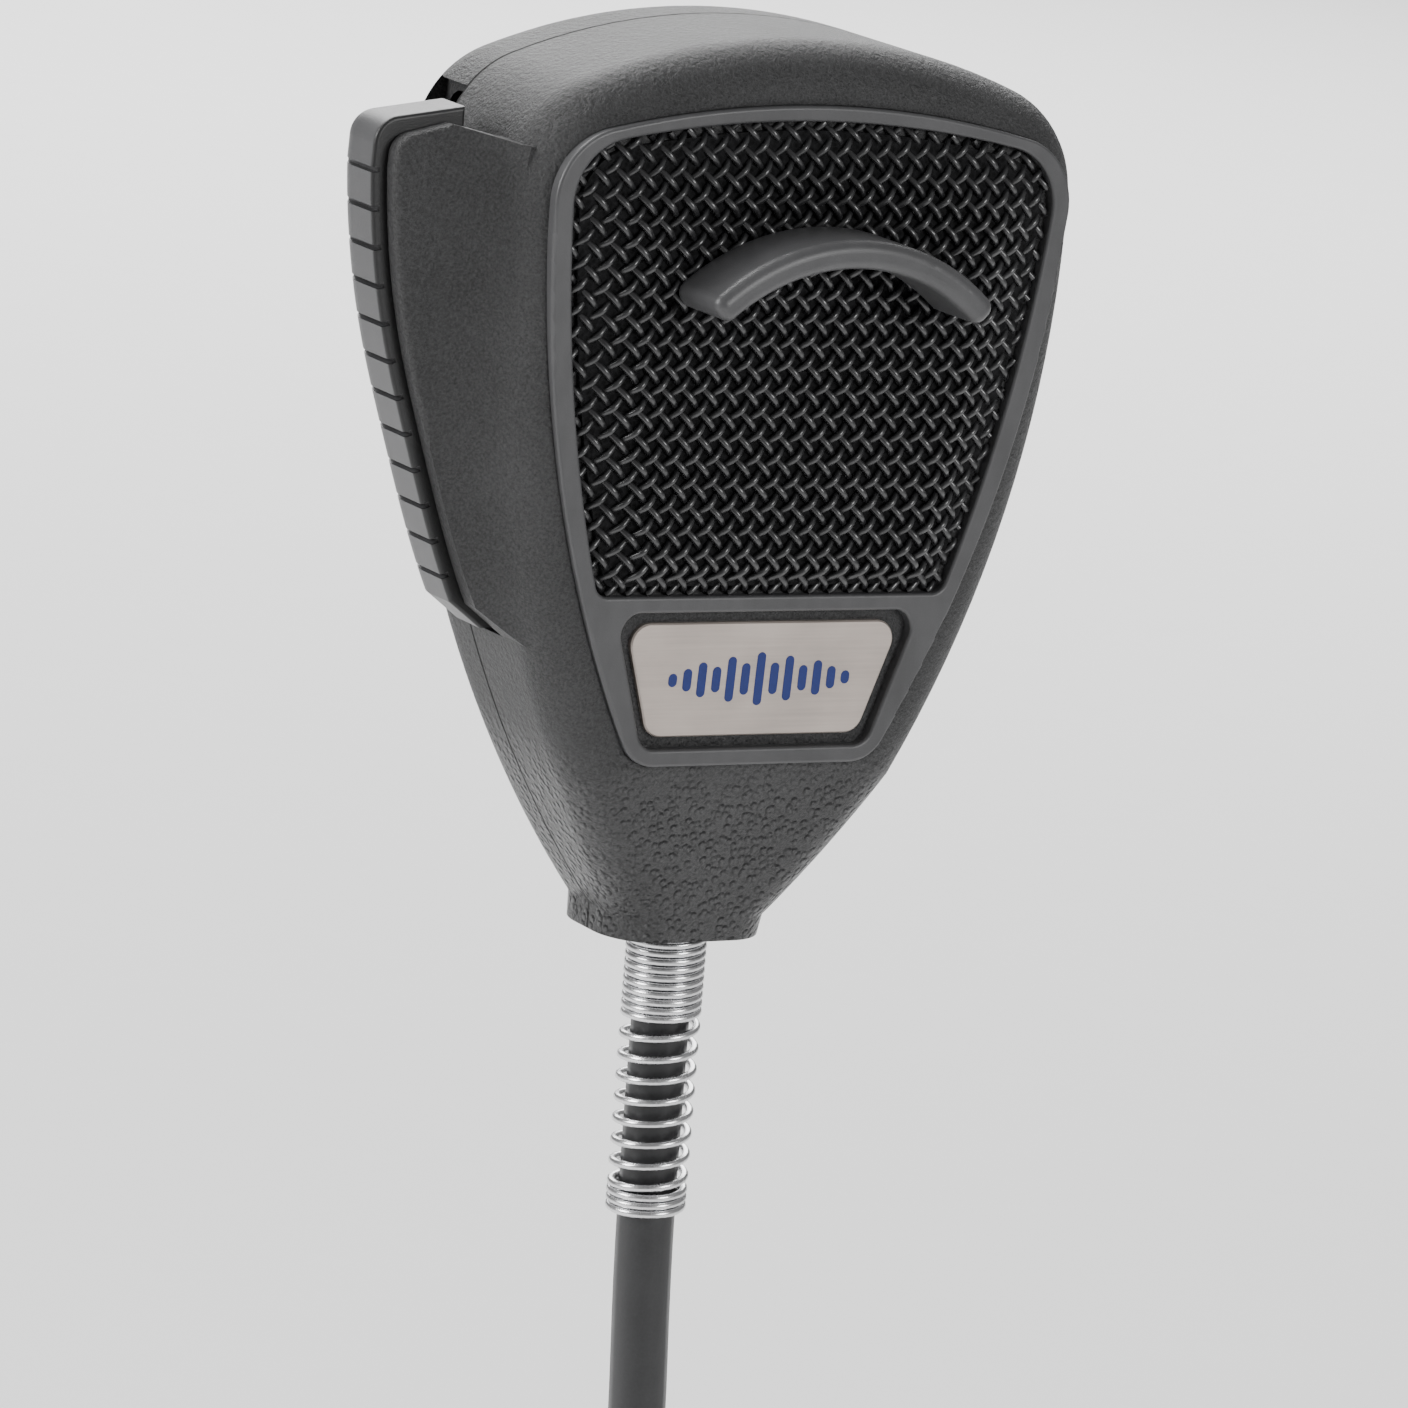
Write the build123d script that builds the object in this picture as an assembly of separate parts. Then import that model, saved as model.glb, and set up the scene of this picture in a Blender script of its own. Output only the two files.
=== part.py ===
from build123d import *
import math
import os

# Hand microphone with a curly cord, in millimetres.
#
# Every piece is modelled from the cord's axis (X = Y = 0) and the lower end of the
# body (Z = 0), with the grille towards -Y. export() then moves it so that the origin
# lies at the root of the hanger button on the back, with +Z up.

# --- Body: two shells that meet on a slightly tilted parting plane -----------------
BODY_HEIGHT = 90.6
BODY_HALF_WIDTH = 31.3
WIDEST_HEIGHT = 70.0
SIDE_RADIUS = 106.0
CROWN_RADIUS = 68.0
CROWN_CORNER = 11.0
FOOT_HEIGHT = 2.3
NECK_HALF_WIDTH = 8.9
NECK_HEIGHT = 6.2
FRONT_Y = -11.0
CHIN_TOP = 21.0
CHIN_BOTTOM_Y = -5.4
BACK_Y = 7.6
BACK_SLOPE = 0.10
SEAM_SLOPE = 0.08
SHOULDER = 5.0
WALL = 2.0
BIG = 60.0

# --- Front window: bezel, wire grille, foam and nameplate --------------------------
BEZEL_FOOT = 21.4
BEZEL_FOOT_HALF = 13.4
BEZEL_MID = (25.1, 50.5)
BEZEL_SHOULDER = (28.75, 80.9)
BEZEL_CROWN = 85.0
BEZEL_CORNERS = (4.0, 7.0)
BEZEL_PROUD = 0.7
BEZEL_GROOVE = 0.5
BEZEL_ROUND = 0.35
GRILLE_FOOT = 38.0
GRILLE_FOOT_HALF = 19.3
GRILLE_MID = (24.3, 57.0)
GRILLE_SHOULDER = (26.9, 80.3)
GRILLE_CROWN = 83.5
GRILLE_CORNERS = (1.5, 6.0)
MESH_RISE = 2.2
MESH_THICK = 0.5
MESH_BEVELS = (3.0, 5.6, 7.0)
PLATE_TOP = 35.3
PLATE_FOOT = 24.2
PLATE_HALF_TOP = 15.5
PLATE_HALF_FOOT = 11.85
PLATE_THICK = 0.6
PLATE_CORNER = 2.0
PLATE_MARGIN = 1.1
SOUND_SLOTS = 5
SOUND_SLOT_HEIGHT = 3.2
SOUND_SLOT_PITCH = 5.4
SOUND_SLOT_HALF = 12.0

# --- Lip guard: a raised arch in front of the grille -------------------------------
ARCH_CENTRE_Z = 50.7
ARCH_OUTER = 23.2
ARCH_WIDTH = 2.8
ARCH_HALF_ANGLE = 43.0
ARCH_FRONT_Y = -20.5
ARCH_ROUND = 1.12
PEG_RADIUS = 0.95
PEG_ANGLE = 36.0

# --- Talk lever on the left, hinged inside the shells near its lower end -----------
HINGE_X_FROM_SIDE = 11.3
HINGE_Z = 36.5
LEVER_FRONT_Y = -3.0
LEVER_WIDTH = 6.8
LEVER_TOP = 82.6
LEVER_CORNER = 2.6
LEVER_STAND_OFFS = ((76.8, 12.1), (71.0, 11.35), (61.0, 9.0), (50.0, 5.0), (39.5, 0.7), (35.6, -1.2))
LEVER_INNER = ((44.0, -7.8), (52.0, -3.9), (62.0, -2.1), (72.0, -1.1), (77.0, -0.6), (78.0, 2.7))
LEVER_WALL = 2.0
LEVER_HUB = 2.9
RETURN_POCKET = 5.6
RETURN_FLOOR_Y = 1.2
TONGUE_Z = 73.0
GROOVES = 12
GROOVE_PITCH = 3.68
GROOVE_WIDTH = 0.55
GROOVE_DEPTH = 0.75
PIN_RADIUS = 1.0
PIN_CLEARANCE = 0.05
PIN_BOSS = 2.8
SLOT_GAP = 0.4
SLOT_TOP = 78.8
SLOT_FOOT = 32.4
NOTCH_BACK = 13.2
NOTCH_FOOT = 77.0
NOTCH_TOP = 83.0
NOTCH_INSET = 4.4
EAR_INSET = 1.4
EAR_FRONT_Y = -4.8
EAR_ROUND = 0.6
EAR_CORNER = 2.2
FLARE_RADIUS = 7.6
FLARE_EDGE = 0.3

# --- Talk switch beside the lever --------------------------------------------------
SWITCH_LEFT_FROM_SIDE = 8.8
SWITCH_FOOT = 43.8
SWITCH_SIZE = (7.0, 6.0, 13.0)
SWITCH_WALL = 0.9
PLUNGER_Z = 50.0
PLUNGER_RADIUS = 1.1
PLUNGER_REACH = 2.3
ACTUATOR_GAP = 0.08
SWITCH_SCREW_RADIUS = 0.9

# --- Dynamic cartridge behind the grille -------------------------------------------
CARTRIDGE_Z = 60.0
CARTRIDGE_RADIUS = 12.6
CARTRIDGE_DEPTH = 11.0
BOOT_WALL = 1.6
MAGNET_RADIUS = 5.6
MAGNET_DEPTH = 4.4
COIL_RADIUS = 6.6

# --- Screws, hanger and terminal board ---------------------------------------------
SCREW_PLACES = ((-19.5, 75.5), (19.5, 75.5), (-10.8, 21.5), (10.8, 21.5))
SCREW_RADIUS = 1.45
SCREW_LENGTH = 13.0
SCREW_HEAD_RADIUS = 2.7
SCREW_HEAD_HEIGHT = 1.8
BOSS_RADIUS = 3.2
HOLE_CLEARANCE = 0.15
HANGER_Z = 50.0
HANGER_PAD_RADIUS = 8.0
HANGER_PAD_Y = 13.5
HANGER_NECK_RADIUS = 3.8
HANGER_NECK = 3.0
HANGER_HEAD_RADIUS = 6.5
HANGER_HEAD = 2.2
HANGER_SCREW_RADIUS = 1.5
NUT_FLATS = 5.5
NUT_THICK = 2.4
BOARD_SIZE = (18.0, 1.6, 10.0)
BOARD_Z = 33.5
BOARD_Y = -4.6

# --- Cord, its strain relief and its crimp -----------------------------------------
CORD_RADIUS = 2.85
CORD_LEAN = 2.4
LEAN_Z = 5.0
SPRING_OUTER = 4.0
SPRING_WALL = 0.5
SPRING_TOP = 10.0
SPRING_LENGTH = 38.0
NECK_BORE = 4.3
CRIMP_LENGTH = 5.0
CRIMP_RADIUS = 4.6
CRIMP_TOP = 16.5
CURL_RADIUS = 9.2
LEAD_ROUTE = ((0, 0, 18), (0, 0, 5), (0.75, 0, -13), (1.7, 0, -32), (3.9, 0.6, -51), (4.6, 0.4, -72))
CURL_ROUTE = ((4.6, 0.4, -72), (4.9, 0, -100), (1.5, -1, -133), (-6, -2, -170), (-10, -1, -207),
              (-5, 1, -242), (15, 3, -266), (42, 4, -258), (53, 3, -230), (49, 1, -193),
              (37, 0, -160), (31, 1, -135))
TAIL_ROUTE = ((31, 1, -135), (27, 2, -113), (37, 5, -90), (62, 9, -83), (83, 12, -99),
              (88, 12, -126), (88.5, 11, -150))
TIE_Z = -147.0
TIE_HEIGHT = 9.0
TIE_THICK = 1.3
TIE_GAP = 1.9

# --- Cord plug: four sockets, a collet cap and a coupling ring ---------------------
PLUG_SHELL_RADIUS = 7.6
PLUG_SHELL_LENGTH = 26.0
PLUG_BORE = 6.2
PLUG_NECK = 4.6
COUPLING_RADIUS = 9.2
COUPLING_LENGTH = 11.0
COUPLING_KNURLS = 36
INSERT_LENGTH = 9.0
CONTACTS = 4
CONTACT_CIRCLE = 3.4
CONTACT_RADIUS = 0.9

SEAM = Plane(origin=(0, 0, 0), x_dir=(1, 0, 0), z_dir=(0, 1, -SEAM_SLOPE))
HINGE_X = HINGE_X_FROM_SIDE - BODY_HALF_WIDTH
LEVER_BACK_Y = LEVER_FRONT_Y + LEVER_WIDTH
FLOOR_Y = FRONT_Y + BEZEL_GROOVE
MESH_FRONT_Y = FRONT_Y - MESH_RISE
INNER_FRONT_Y = FRONT_Y + WALL
SWITCH_LEFT = SWITCH_LEFT_FROM_SIDE - BODY_HALF_WIDTH


# --- Helpers -----------------------------------------------------------------------
def half_width(height, inset=0.0):
    """Half width of the body at a height, below the crown's rounded corners."""
    radius = SIDE_RADIUS - inset
    return math.sqrt(radius**2 - (height - WIDEST_HEIGHT) ** 2) - (SIDE_RADIUS - BODY_HALF_WIDTH)


def back_y(height):
    """Y of the flat back face at a height."""
    return BACK_Y + BACK_SLOPE * height


def seam_y(height):
    """Y of the parting plane at a height."""
    return SEAM_SLOPE * height


def export(name, *solids):
    """Move a piece to the final origin and write it as one node."""
    move = Pos(0, -HANGER_PAD_Y, -HANGER_Z)
    moved = [move * solid for item in solids for solid in item.solids()]
    shape = moved[0] if len(moved) == 1 else Compound(children=moved)
    export_step(shape, f"parts/{name}.step")


def slab(face, y_front, y_back):
    """Extrude a face drawn in X and Z from y_front back to y_back."""
    return Pos(0, y_back, 0) * extrude(Plane.XZ * face, amount=y_back - y_front)


def rod(x, z, radius, y_front, y_back):
    """A round bar along Y."""
    return slab(Pos(x, z) * Circle(radius), y_front, y_back)


def block(x0, x1, y0, y1, z0, z1):
    """A box between two corners."""
    middle = Pos((x0 + x1) / 2, (y0 + y1) / 2, (z0 + z1) / 2)
    return middle * Box(x1 - x0, y1 - y0, z1 - z0)


# --- Body --------------------------------------------------------------------------
def body_outline(inset=0.0):
    """Front view of the body: two long side arcs, a crown arc and a narrow neck."""
    side = Pos(BODY_HALF_WIDTH - SIDE_RADIUS, WIDEST_HEIGHT) * Circle(SIDE_RADIUS - inset)
    crown = Pos(0, BODY_HEIGHT - CROWN_RADIUS) * Circle(CROWN_RADIUS - inset)
    above_foot = Pos(0, (BODY_HEIGHT + inset) / 2) * Rectangle(4 * BODY_HALF_WIDTH, BODY_HEIGHT - inset)
    shape = side & mirror(side, Plane.YZ) & crown & above_foot
    shape = fillet(shape.vertices().filter_by(lambda v: v.Y > WIDEST_HEIGHT), CROWN_CORNER - inset)
    neck = Pos(0, (NECK_HEIGHT + inset) / 2) * Rectangle(2 * (NECK_HALF_WIDTH - inset), NECK_HEIGHT - inset)
    return shape + neck


def body_block(inset=0.0):
    """The whole body, or the space inside it, as one rounded block."""
    solid = slab(body_outline(inset), -BIG, BIG)
    chin = math.atan2(CHIN_BOTTOM_Y - FRONT_Y, CHIN_TOP)
    lean = math.atan(BACK_SLOPE)
    chin_foot = CHIN_BOTTOM_Y + inset / math.cos(chin)
    back_foot = BACK_Y - inset / math.cos(lean)
    planes = (
        Plane(origin=(0, FRONT_Y + inset, 0), x_dir=(1, 0, 0), z_dir=(0, -1, 0)),
        Plane(origin=(0, chin_foot, 0), x_dir=(1, 0, 0), z_dir=(0, -math.cos(chin), -math.sin(chin))),
        Plane(origin=(0, back_foot, 0), x_dir=(1, 0, 0), z_dir=(0, math.cos(lean), -math.sin(lean))),
    )
    for plane in planes:
        solid = split(solid, bisect_by=plane, keep=Keep.BOTTOM)

    def crosses_middle(edge):
        return edge.geom_type == GeomType.LINE and abs(edge.center().X) < 0.01

    def on_front(edge):
        return all(v.Y < chin_foot + 0.5 for v in edge.vertices())

    def on_back(edge):
        return all(abs(v.Y - back_foot - BACK_SLOPE * v.Z) < 0.01 for v in edge.vertices())

    rims = [e for e in solid.edges() if (on_front(e) or on_back(e)) and not crosses_middle(e)]
    return fillet(rims, SHOULDER - inset) - block(-BIG, BIG, -BIG, BIG, -BIG, FOOT_HEIGHT)


def window(foot, foot_half, mid, shoulder, crown, corners, inset=0.0):
    """A window outline: straight foot, bowed sides, a crown arc, rounded corners."""
    foot, foot_half, crown = foot + inset, foot_half - inset, crown - inset
    mid = (mid[0] - inset, mid[1])
    shoulder = (shoulder[0] - inset, shoulder[1] - inset)
    corners = [corner - 0.4 * inset for corner in corners]
    with BuildSketch() as sketch:
        with BuildLine():
            Line((-foot_half, foot), (foot_half, foot))
            ThreePointArc((foot_half, foot), mid, shoulder)
            ThreePointArc(shoulder, (0, crown), (-shoulder[0], shoulder[1]))
            ThreePointArc((-shoulder[0], shoulder[1]), (-mid[0], mid[1]), (-foot_half, foot))
        make_face()
        fillet([v for v in sketch.vertices() if v.Y < foot + 0.1], corners[0])
        fillet([v for v in sketch.vertices() if v.Y > shoulder[1] - 0.1], corners[1])
    return sketch.sketch


def bezel_outline(inset=0.0):
    return window(BEZEL_FOOT, BEZEL_FOOT_HALF, BEZEL_MID, BEZEL_SHOULDER, BEZEL_CROWN, BEZEL_CORNERS, inset)


def grille_outline(inset=0.0):
    return window(GRILLE_FOOT, GRILLE_FOOT_HALF, GRILLE_MID, GRILLE_SHOULDER, GRILLE_CROWN,
                  GRILLE_CORNERS, inset)


def mesh_crest(inset=0.0):
    """The flat front of the pillow-shaped grille."""
    low, high, side = (bevel + inset for bevel in MESH_BEVELS)
    shoulder = (GRILLE_SHOULDER[0] - side, GRILLE_SHOULDER[1] - high)
    middle = (GRILLE_MID[0] - 0.9 * side, GRILLE_MID[1])
    return window(GRILLE_FOOT + low, GRILLE_FOOT_HALF - 0.55 * side, middle,
                  shoulder, GRILLE_CROWN - high, (1.0, 3.0))


def plate_outline(margin=0.0, corner=PLATE_CORNER):
    """The nameplate's trapezoid, or the recess round it."""
    top, foot = PLATE_HALF_TOP, PLATE_HALF_FOOT
    points = [(-foot, PLATE_FOOT), (foot, PLATE_FOOT), (top, PLATE_TOP), (-top, PLATE_TOP)]
    shape = make_face(Polyline(*points, close=True))
    if margin:
        shape = offset(shape, margin, kind=Kind.INTERSECTION)
    return fillet(shape.vertices(), corner)


# --- Talk lever outline ------------------------------------------------------------
def lever_curve(inset=0.0):
    """The lever's outer edge, from its upper corner down to its lower end."""
    return Spline(*[(inset - BODY_HALF_WIDTH - off, height) for height, off in LEVER_STAND_OFFS])


def ear_outline():
    """Front view of the ear: the lever's outer edge moved inwards."""
    side = -BODY_HALF_WIDTH
    curve = lever_curve(EAR_INSET)
    top = LEVER_TOP - EAR_INSET
    corner = (side + EAR_INSET - 12.1, top - 1.4)
    rest = Polyline(curve @ 1, (side + 7.0, SLOT_FOOT), (side + 9.0, SLOT_FOOT), (side + 9.0, top - 1.2),
                    (side + 0.6, top - 1.2), (side - 5.0, top), corner, curve @ 0)
    shape = make_face(Wire([curve.edge()] + list(rest.edges())))
    return fillet([v for v in shape.vertices() if abs(v.Y - corner[1]) < 0.01], EAR_CORNER)


def lever_outline():
    """Front view of the lever with its arm and hub."""
    side = -BODY_HALF_WIDTH
    curve = lever_curve()
    top_corner = (side - 12.1, LEVER_TOP - 1.4)
    inner = [(side - off, height) for height, off in reversed(LEVER_INNER)]
    rest = Polyline(curve @ 1, (side + 4.7, HINGE_Z - 3.4), (HINGE_X, HINGE_Z - LEVER_HUB),
                    (HINGE_X + 2.4, HINGE_Z + 1.7), *reversed(inner),
                    (side - 2.9, LEVER_TOP), top_corner, curve @ 0)
    shape = make_face(Wire([curve.edge()] + list(rest.edges())))
    corner = [v for v in shape.vertices() if abs(v.Y - top_corner[1]) < 0.01]
    shape = fillet(corner, LEVER_CORNER)
    return shape + Pos(HINGE_X, HINGE_Z) * Circle(LEVER_HUB)


# --- Shells ------------------------------------------------------------------------
def lever_slot():
    """The window through the side walls that the lever moves in."""
    inner_x = -half_width(SLOT_FOOT) + WALL + 1.0
    front, back = LEVER_FRONT_Y - 0.2, LEVER_BACK_Y + SLOT_GAP
    slot = block(-BIG, inner_x, front, back, SLOT_FOOT, SLOT_TOP)
    notch = block(-BIG, -BODY_HALF_WIDTH + NOTCH_INSET, seam_y(NOTCH_TOP), NOTCH_BACK, NOTCH_FOOT, NOTCH_TOP)
    return slot + notch


def ear():
    """The flare of the front shell that covers the lever's front edge."""
    back = LEVER_FRONT_Y - 0.2
    face = ear_outline()
    plate = slab(face, EAR_FRONT_Y, back)
    rim = plate.edges().filter_by(lambda e: e.center().Y < EAR_FRONT_Y + 0.01)
    rim = rim.filter_by(lambda e: e.center().X < -half_width(e.center().Z) - 0.4)
    plate = fillet(rim, EAR_ROUND)
    shoulder_y = FRONT_Y + SHOULDER
    ring_y = EAR_FRONT_Y - FLARE_RADIUS
    reach = math.sqrt((SHOULDER + FLARE_RADIUS) ** 2 - (ring_y - shoulder_y) ** 2)
    centre_x = SIDE_RADIUS - BODY_HALF_WIDTH
    ring_radius = SIDE_RADIUS - SHOULDER + reach
    meet_y = shoulder_y + (ring_y - shoulder_y) * SHOULDER / (SHOULDER + FLARE_RADIUS)
    flare = slab(face & Pos(centre_x, WIDEST_HEIGHT) * Circle(ring_radius - FLARE_EDGE), meet_y, back)
    ring = Pos(centre_x, ring_y, WIDEST_HEIGHT) * Rot(90, 0, 0) * Torus(ring_radius, FLARE_RADIUS)
    return plate + (flare - ring)


def neck_bore():
    """The strain relief's bore and the wider pocket for the crimp above it."""
    bore = Cylinder(NECK_BORE, CRIMP_TOP - 2, align=(Align.CENTER, Align.CENTER, Align.MIN))
    pocket = Cylinder(CRIMP_RADIUS + 0.25, CRIMP_LENGTH + 0.5, align=(Align.CENTER, Align.CENTER, Align.MIN))
    return Pos(0, 0, -1) * bore + Pos(0, 0, CRIMP_TOP - CRIMP_LENGTH - 0.25) * pocket


def neck_collar():
    """Solid plastic in the neck, which the bore is cut through."""
    return block(-BIG, BIG, -BIG, BIG, 0, CRIMP_TOP)


def shells():
    """The hollow body, cut along the parting plane into front and rear.

    Behind the lever a strip of the front's side wall belongs to the rear cover,
    so that the lever drops into an open slot and the cover then closes it.
    """
    inner = body_block(WALL) - neck_collar()
    whole = body_block() - inner - neck_bore() - lever_slot()
    strip = block(-BIG, 0, LEVER_BACK_Y + SLOT_GAP, BIG, SLOT_FOOT, SLOT_TOP)
    front = split(whole, bisect_by=SEAM, keep=Keep.BOTTOM)
    rear = split(whole, bisect_by=SEAM, keep=Keep.TOP) + (front & strip)
    return front - strip, rear, inner


def front_housing(front, inner):
    shell = front + (ear() - inner - lever_slot())
    shell -= slab(bezel_outline(-0.05), FRONT_Y - 1, FLOOR_Y)
    for index in range(SOUND_SLOTS):
        height = CARTRIDGE_Z + (index - (SOUND_SLOTS - 1) / 2) * SOUND_SLOT_PITCH
        half = SOUND_SLOT_HALF - 1.4 * abs(index - (SOUND_SLOTS - 1) / 2)
        slot = Pos(0, height) * SlotOverall(2 * half, SOUND_SLOT_HEIGHT)
        shell -= slab(slot, FLOOR_Y - 1, INNER_FRONT_Y + 1)
    posts = [(x, z, BOSS_RADIUS, SCREW_RADIUS, seam_y(z)) for x, z in SCREW_PLACES]
    posts += [(x, z, 2.0, SWITCH_SCREW_RADIUS, -SWITCH_SIZE[1] / 2) for x, z in switch_screw_places()]
    posts += [(x, z, 2.0, SWITCH_SCREW_RADIUS, BOARD_Y - BOARD_SIZE[1] / 2) for x, z in board_screw_places()]
    posts += [(HINGE_X, HINGE_Z, PIN_BOSS, PIN_RADIUS, LEVER_FRONT_Y - 0.15)]
    for x, z, radius, bore, top in posts:
        post = rod(x, z, radius, INNER_FRONT_Y - 0.6, top)
        if top >= seam_y(z):
            post = split(post, bisect_by=SEAM, keep=Keep.BOTTOM)
        shell += post
        shell -= rod(x, z, bore + PIN_CLEARANCE, INNER_FRONT_Y + 0.4, top + 5)
    for x, z in peg_places():
        shell -= rod(x, z, PEG_RADIUS + PIN_CLEARANCE, FRONT_Y - 1, INNER_FRONT_Y + 1)
    return shell


def rear_cover(rear):
    shell = rear
    for x, z in SCREW_PLACES:
        post = rod(x, z, BOSS_RADIUS, seam_y(z) - 1, back_y(z) - WALL + 0.6)
        shell += split(post, bisect_by=SEAM, keep=Keep.TOP)
    post_top = LEVER_BACK_Y + 0.25
    shell += rod(HINGE_X, HINGE_Z, PIN_BOSS, post_top, back_y(HINGE_Z) - WALL + 0.6)
    shell -= rod(HINGE_X, HINGE_Z, PIN_RADIUS + PIN_CLEARANCE, post_top - 1, post_top + 3.2)
    boot_back = cartridge_back_y() + BOOT_WALL + 0.1
    for angle in (90, 210, 330):
        reach = CARTRIDGE_RADIUS - 0.4
        x, z = reach * math.cos(math.radians(angle)), CARTRIDGE_Z + reach * math.sin(math.radians(angle))
        shell += rod(x, z, 1.6, boot_back, back_y(z) - WALL + 0.6)
    shell += rod(0, HANGER_Z, HANGER_PAD_RADIUS, back_y(HANGER_Z) - 1.2, HANGER_PAD_Y)
    shell += rod(0, HANGER_Z, 4.4, back_y(HANGER_Z) - WALL - NUT_THICK, back_y(HANGER_Z) - 1.2)
    shell -= rod(0, HANGER_Z, HANGER_SCREW_RADIUS + HOLE_CLEARANCE, 0, HANGER_PAD_Y + 1)
    shell -= slab(Pos(0, HANGER_Z) * nut_outline(0.05), 0, nut_back_y())
    for x, z in SCREW_PLACES:
        shell -= rod(x, z, SCREW_RADIUS + HOLE_CLEARANCE, seam_y(z) - 2, BIG)
        shell -= rod(x, z, SCREW_HEAD_RADIUS + HOLE_CLEARANCE, screw_seat_y(z), BIG)
    return shell


# --- Window pieces -----------------------------------------------------------------
def grille_bezel():
    ring = slab(bezel_outline(), FRONT_Y - BEZEL_PROUD, FLOOR_Y)
    ring -= slab(grille_outline(), FRONT_Y - 5, FLOOR_Y + 1)
    ring -= slab(plate_outline(PLATE_MARGIN, PLATE_CORNER), FRONT_Y - 5, FLOOR_Y + 1)
    rim = ring.edges().filter_by(lambda e: abs(e.center().Y - FRONT_Y + BEZEL_PROUD) < 0.01)
    return fillet(rim, BEZEL_ROUND)


def pillow(inset, rise):
    """The space under the grille's pillow shape, down to the floor of the window."""
    base = slab(grille_outline(inset + 0.1), FRONT_Y - 0.1, FLOOR_Y)
    low = Pos(0, FRONT_Y - 0.1, 0) * (Plane.XZ * grille_outline(inset + 0.1).face())
    high = Pos(0, FRONT_Y - rise, 0) * (Plane.XZ * mesh_crest(inset / 2).face())
    return base + Solid.make_loft([low.outer_wire(), high.outer_wire()], ruled=True)


def grille_mesh():
    mesh = pillow(0.0, MESH_RISE) - pillow(MESH_THICK, MESH_RISE - MESH_THICK)
    for x, z in peg_places():
        mesh -= rod(x, z, PEG_RADIUS + 0.15, MESH_FRONT_Y - 1, FLOOR_Y + 1)
    return mesh


def grille_foam():
    foam = pillow(MESH_THICK + 0.3, MESH_RISE - MESH_THICK - 0.3)
    for x, z in peg_places():
        foam -= rod(x, z, PEG_RADIUS + 0.15, MESH_FRONT_Y - 1, FLOOR_Y + 1)
    return foam


def nameplate():
    plate = slab(plate_outline(), FLOOR_Y - PLATE_THICK, FLOOR_Y)
    rim = plate.edges().filter_by(lambda e: abs(e.center().Y - FLOOR_Y + PLATE_THICK) < 0.01)
    return chamfer(rim, 0.15)


def peg_places():
    """Where the lip guard's two pegs pass through the grille."""
    reach = ARCH_OUTER - ARCH_WIDTH / 2
    turn = math.radians(PEG_ANGLE)
    return [(side * reach * math.sin(turn), ARCH_CENTRE_Z + reach * math.cos(turn)) for side in (-1, 1)]


def lip_guard():
    """A curved bar that keeps the lips off the grille, on two pegs."""
    turn = math.radians(ARCH_HALF_ANGLE)
    middle = ARCH_OUTER - ARCH_WIDTH / 2
    ends = [(side * middle * math.sin(turn), ARCH_CENTRE_Z + middle * math.cos(turn)) for side in (-1, 1)]
    path = ThreePointArc(ends[0], (0, ARCH_CENTRE_Z + middle), ends[1])
    outline = trace(path, ARCH_WIDTH)
    outline = fillet(outline.vertices(), 0.42 * ARCH_WIDTH)
    bar = slab(outline, ARCH_FRONT_Y, MESH_FRONT_Y - 0.02)
    rim = bar.edges().filter_by(lambda e: abs(e.center().Y - ARCH_FRONT_Y) < 0.01)
    bar = fillet(rim, ARCH_ROUND)
    for x, z in peg_places():
        bar += rod(x, z, PEG_RADIUS, MESH_FRONT_Y - 0.5, INNER_FRONT_Y)
    return bar


# --- Lever, pin and spring ---------------------------------------------------------
def ptt_lever():
    outline = lever_outline()
    lever = slab(outline, LEVER_FRONT_Y, LEVER_BACK_Y)
    front_rim = lever.edges().filter_by(lambda e: abs(e.center().Y - LEVER_FRONT_Y) < 0.01)
    back_rim = lever.edges().filter_by(lambda e: abs(e.center().Y - LEVER_BACK_Y) < 0.01)

    def outside(edge):
        return edge.center().X < -half_width(min(edge.center().Z, WIDEST_HEIGHT)) - 1.0

    lever = fillet(front_rim.filter_by(outside), 0.35)
    back_rim = lever.edges().filter_by(lambda e: abs(e.center().Y - LEVER_BACK_Y) < 0.01)
    lever = fillet(back_rim.filter_by(outside), 2.6)
    hollow = Pos(LEVER_WALL, -1.6) * outline
    hollow &= Pos(-BODY_HALF_WIDTH, 48.0 + 18.0) * Rectangle(BIG, 36.0)
    lever -= slab(hollow, LEVER_FRONT_Y + 1.5, LEVER_BACK_Y - 2.2)
    curve = lever_curve()
    for index in range(GROOVES):
        along = (index * GROOVE_PITCH + 0.3) / curve.length
        place, heading = curve @ along, curve % along
        turn = math.degrees(math.atan2(heading.Y, heading.X))
        cutter = Pos(place.X, place.Y) * Rot(0, 0, turn) * Rectangle(GROOVE_WIDTH, 2 * GROOVE_DEPTH)
        lever -= slab(cutter, LEVER_FRONT_Y - 1, LEVER_BACK_Y + 1)
    tongue_x = -half_width(TONGUE_Z, WALL) + 0.2
    tongue_foot, tongue_top = TONGUE_Z - 1.5, TONGUE_Z + 1.5
    front, back = LEVER_FRONT_Y + 0.5, LEVER_BACK_Y - 0.5
    lever += block(tongue_x, tongue_x + 1.5, front, LEVER_BACK_Y + 1.8, tongue_foot, tongue_top)
    lever += block(tongue_x - 4.0, tongue_x + 1.5, front, back, tongue_foot, tongue_top)
    tip = SWITCH_LEFT - PLUNGER_REACH - ACTUATOR_GAP
    lever += block(tip - 5.0, tip, front, back, PLUNGER_Z - 0.8, PLUNGER_Z + 0.8)
    lever -= rod(HINGE_X, HINGE_Z, RETURN_POCKET, RETURN_FLOOR_Y, LEVER_BACK_Y + 1)
    lever -= rod(HINGE_X, HINGE_Z, PIN_RADIUS + PIN_CLEARANCE, -BIG, BIG)
    return lever


def ptt_pivot_pin():
    return rod(HINGE_X, HINGE_Z, PIN_RADIUS, INNER_FRONT_Y + 0.6, LEVER_BACK_Y + 3.2)


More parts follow.
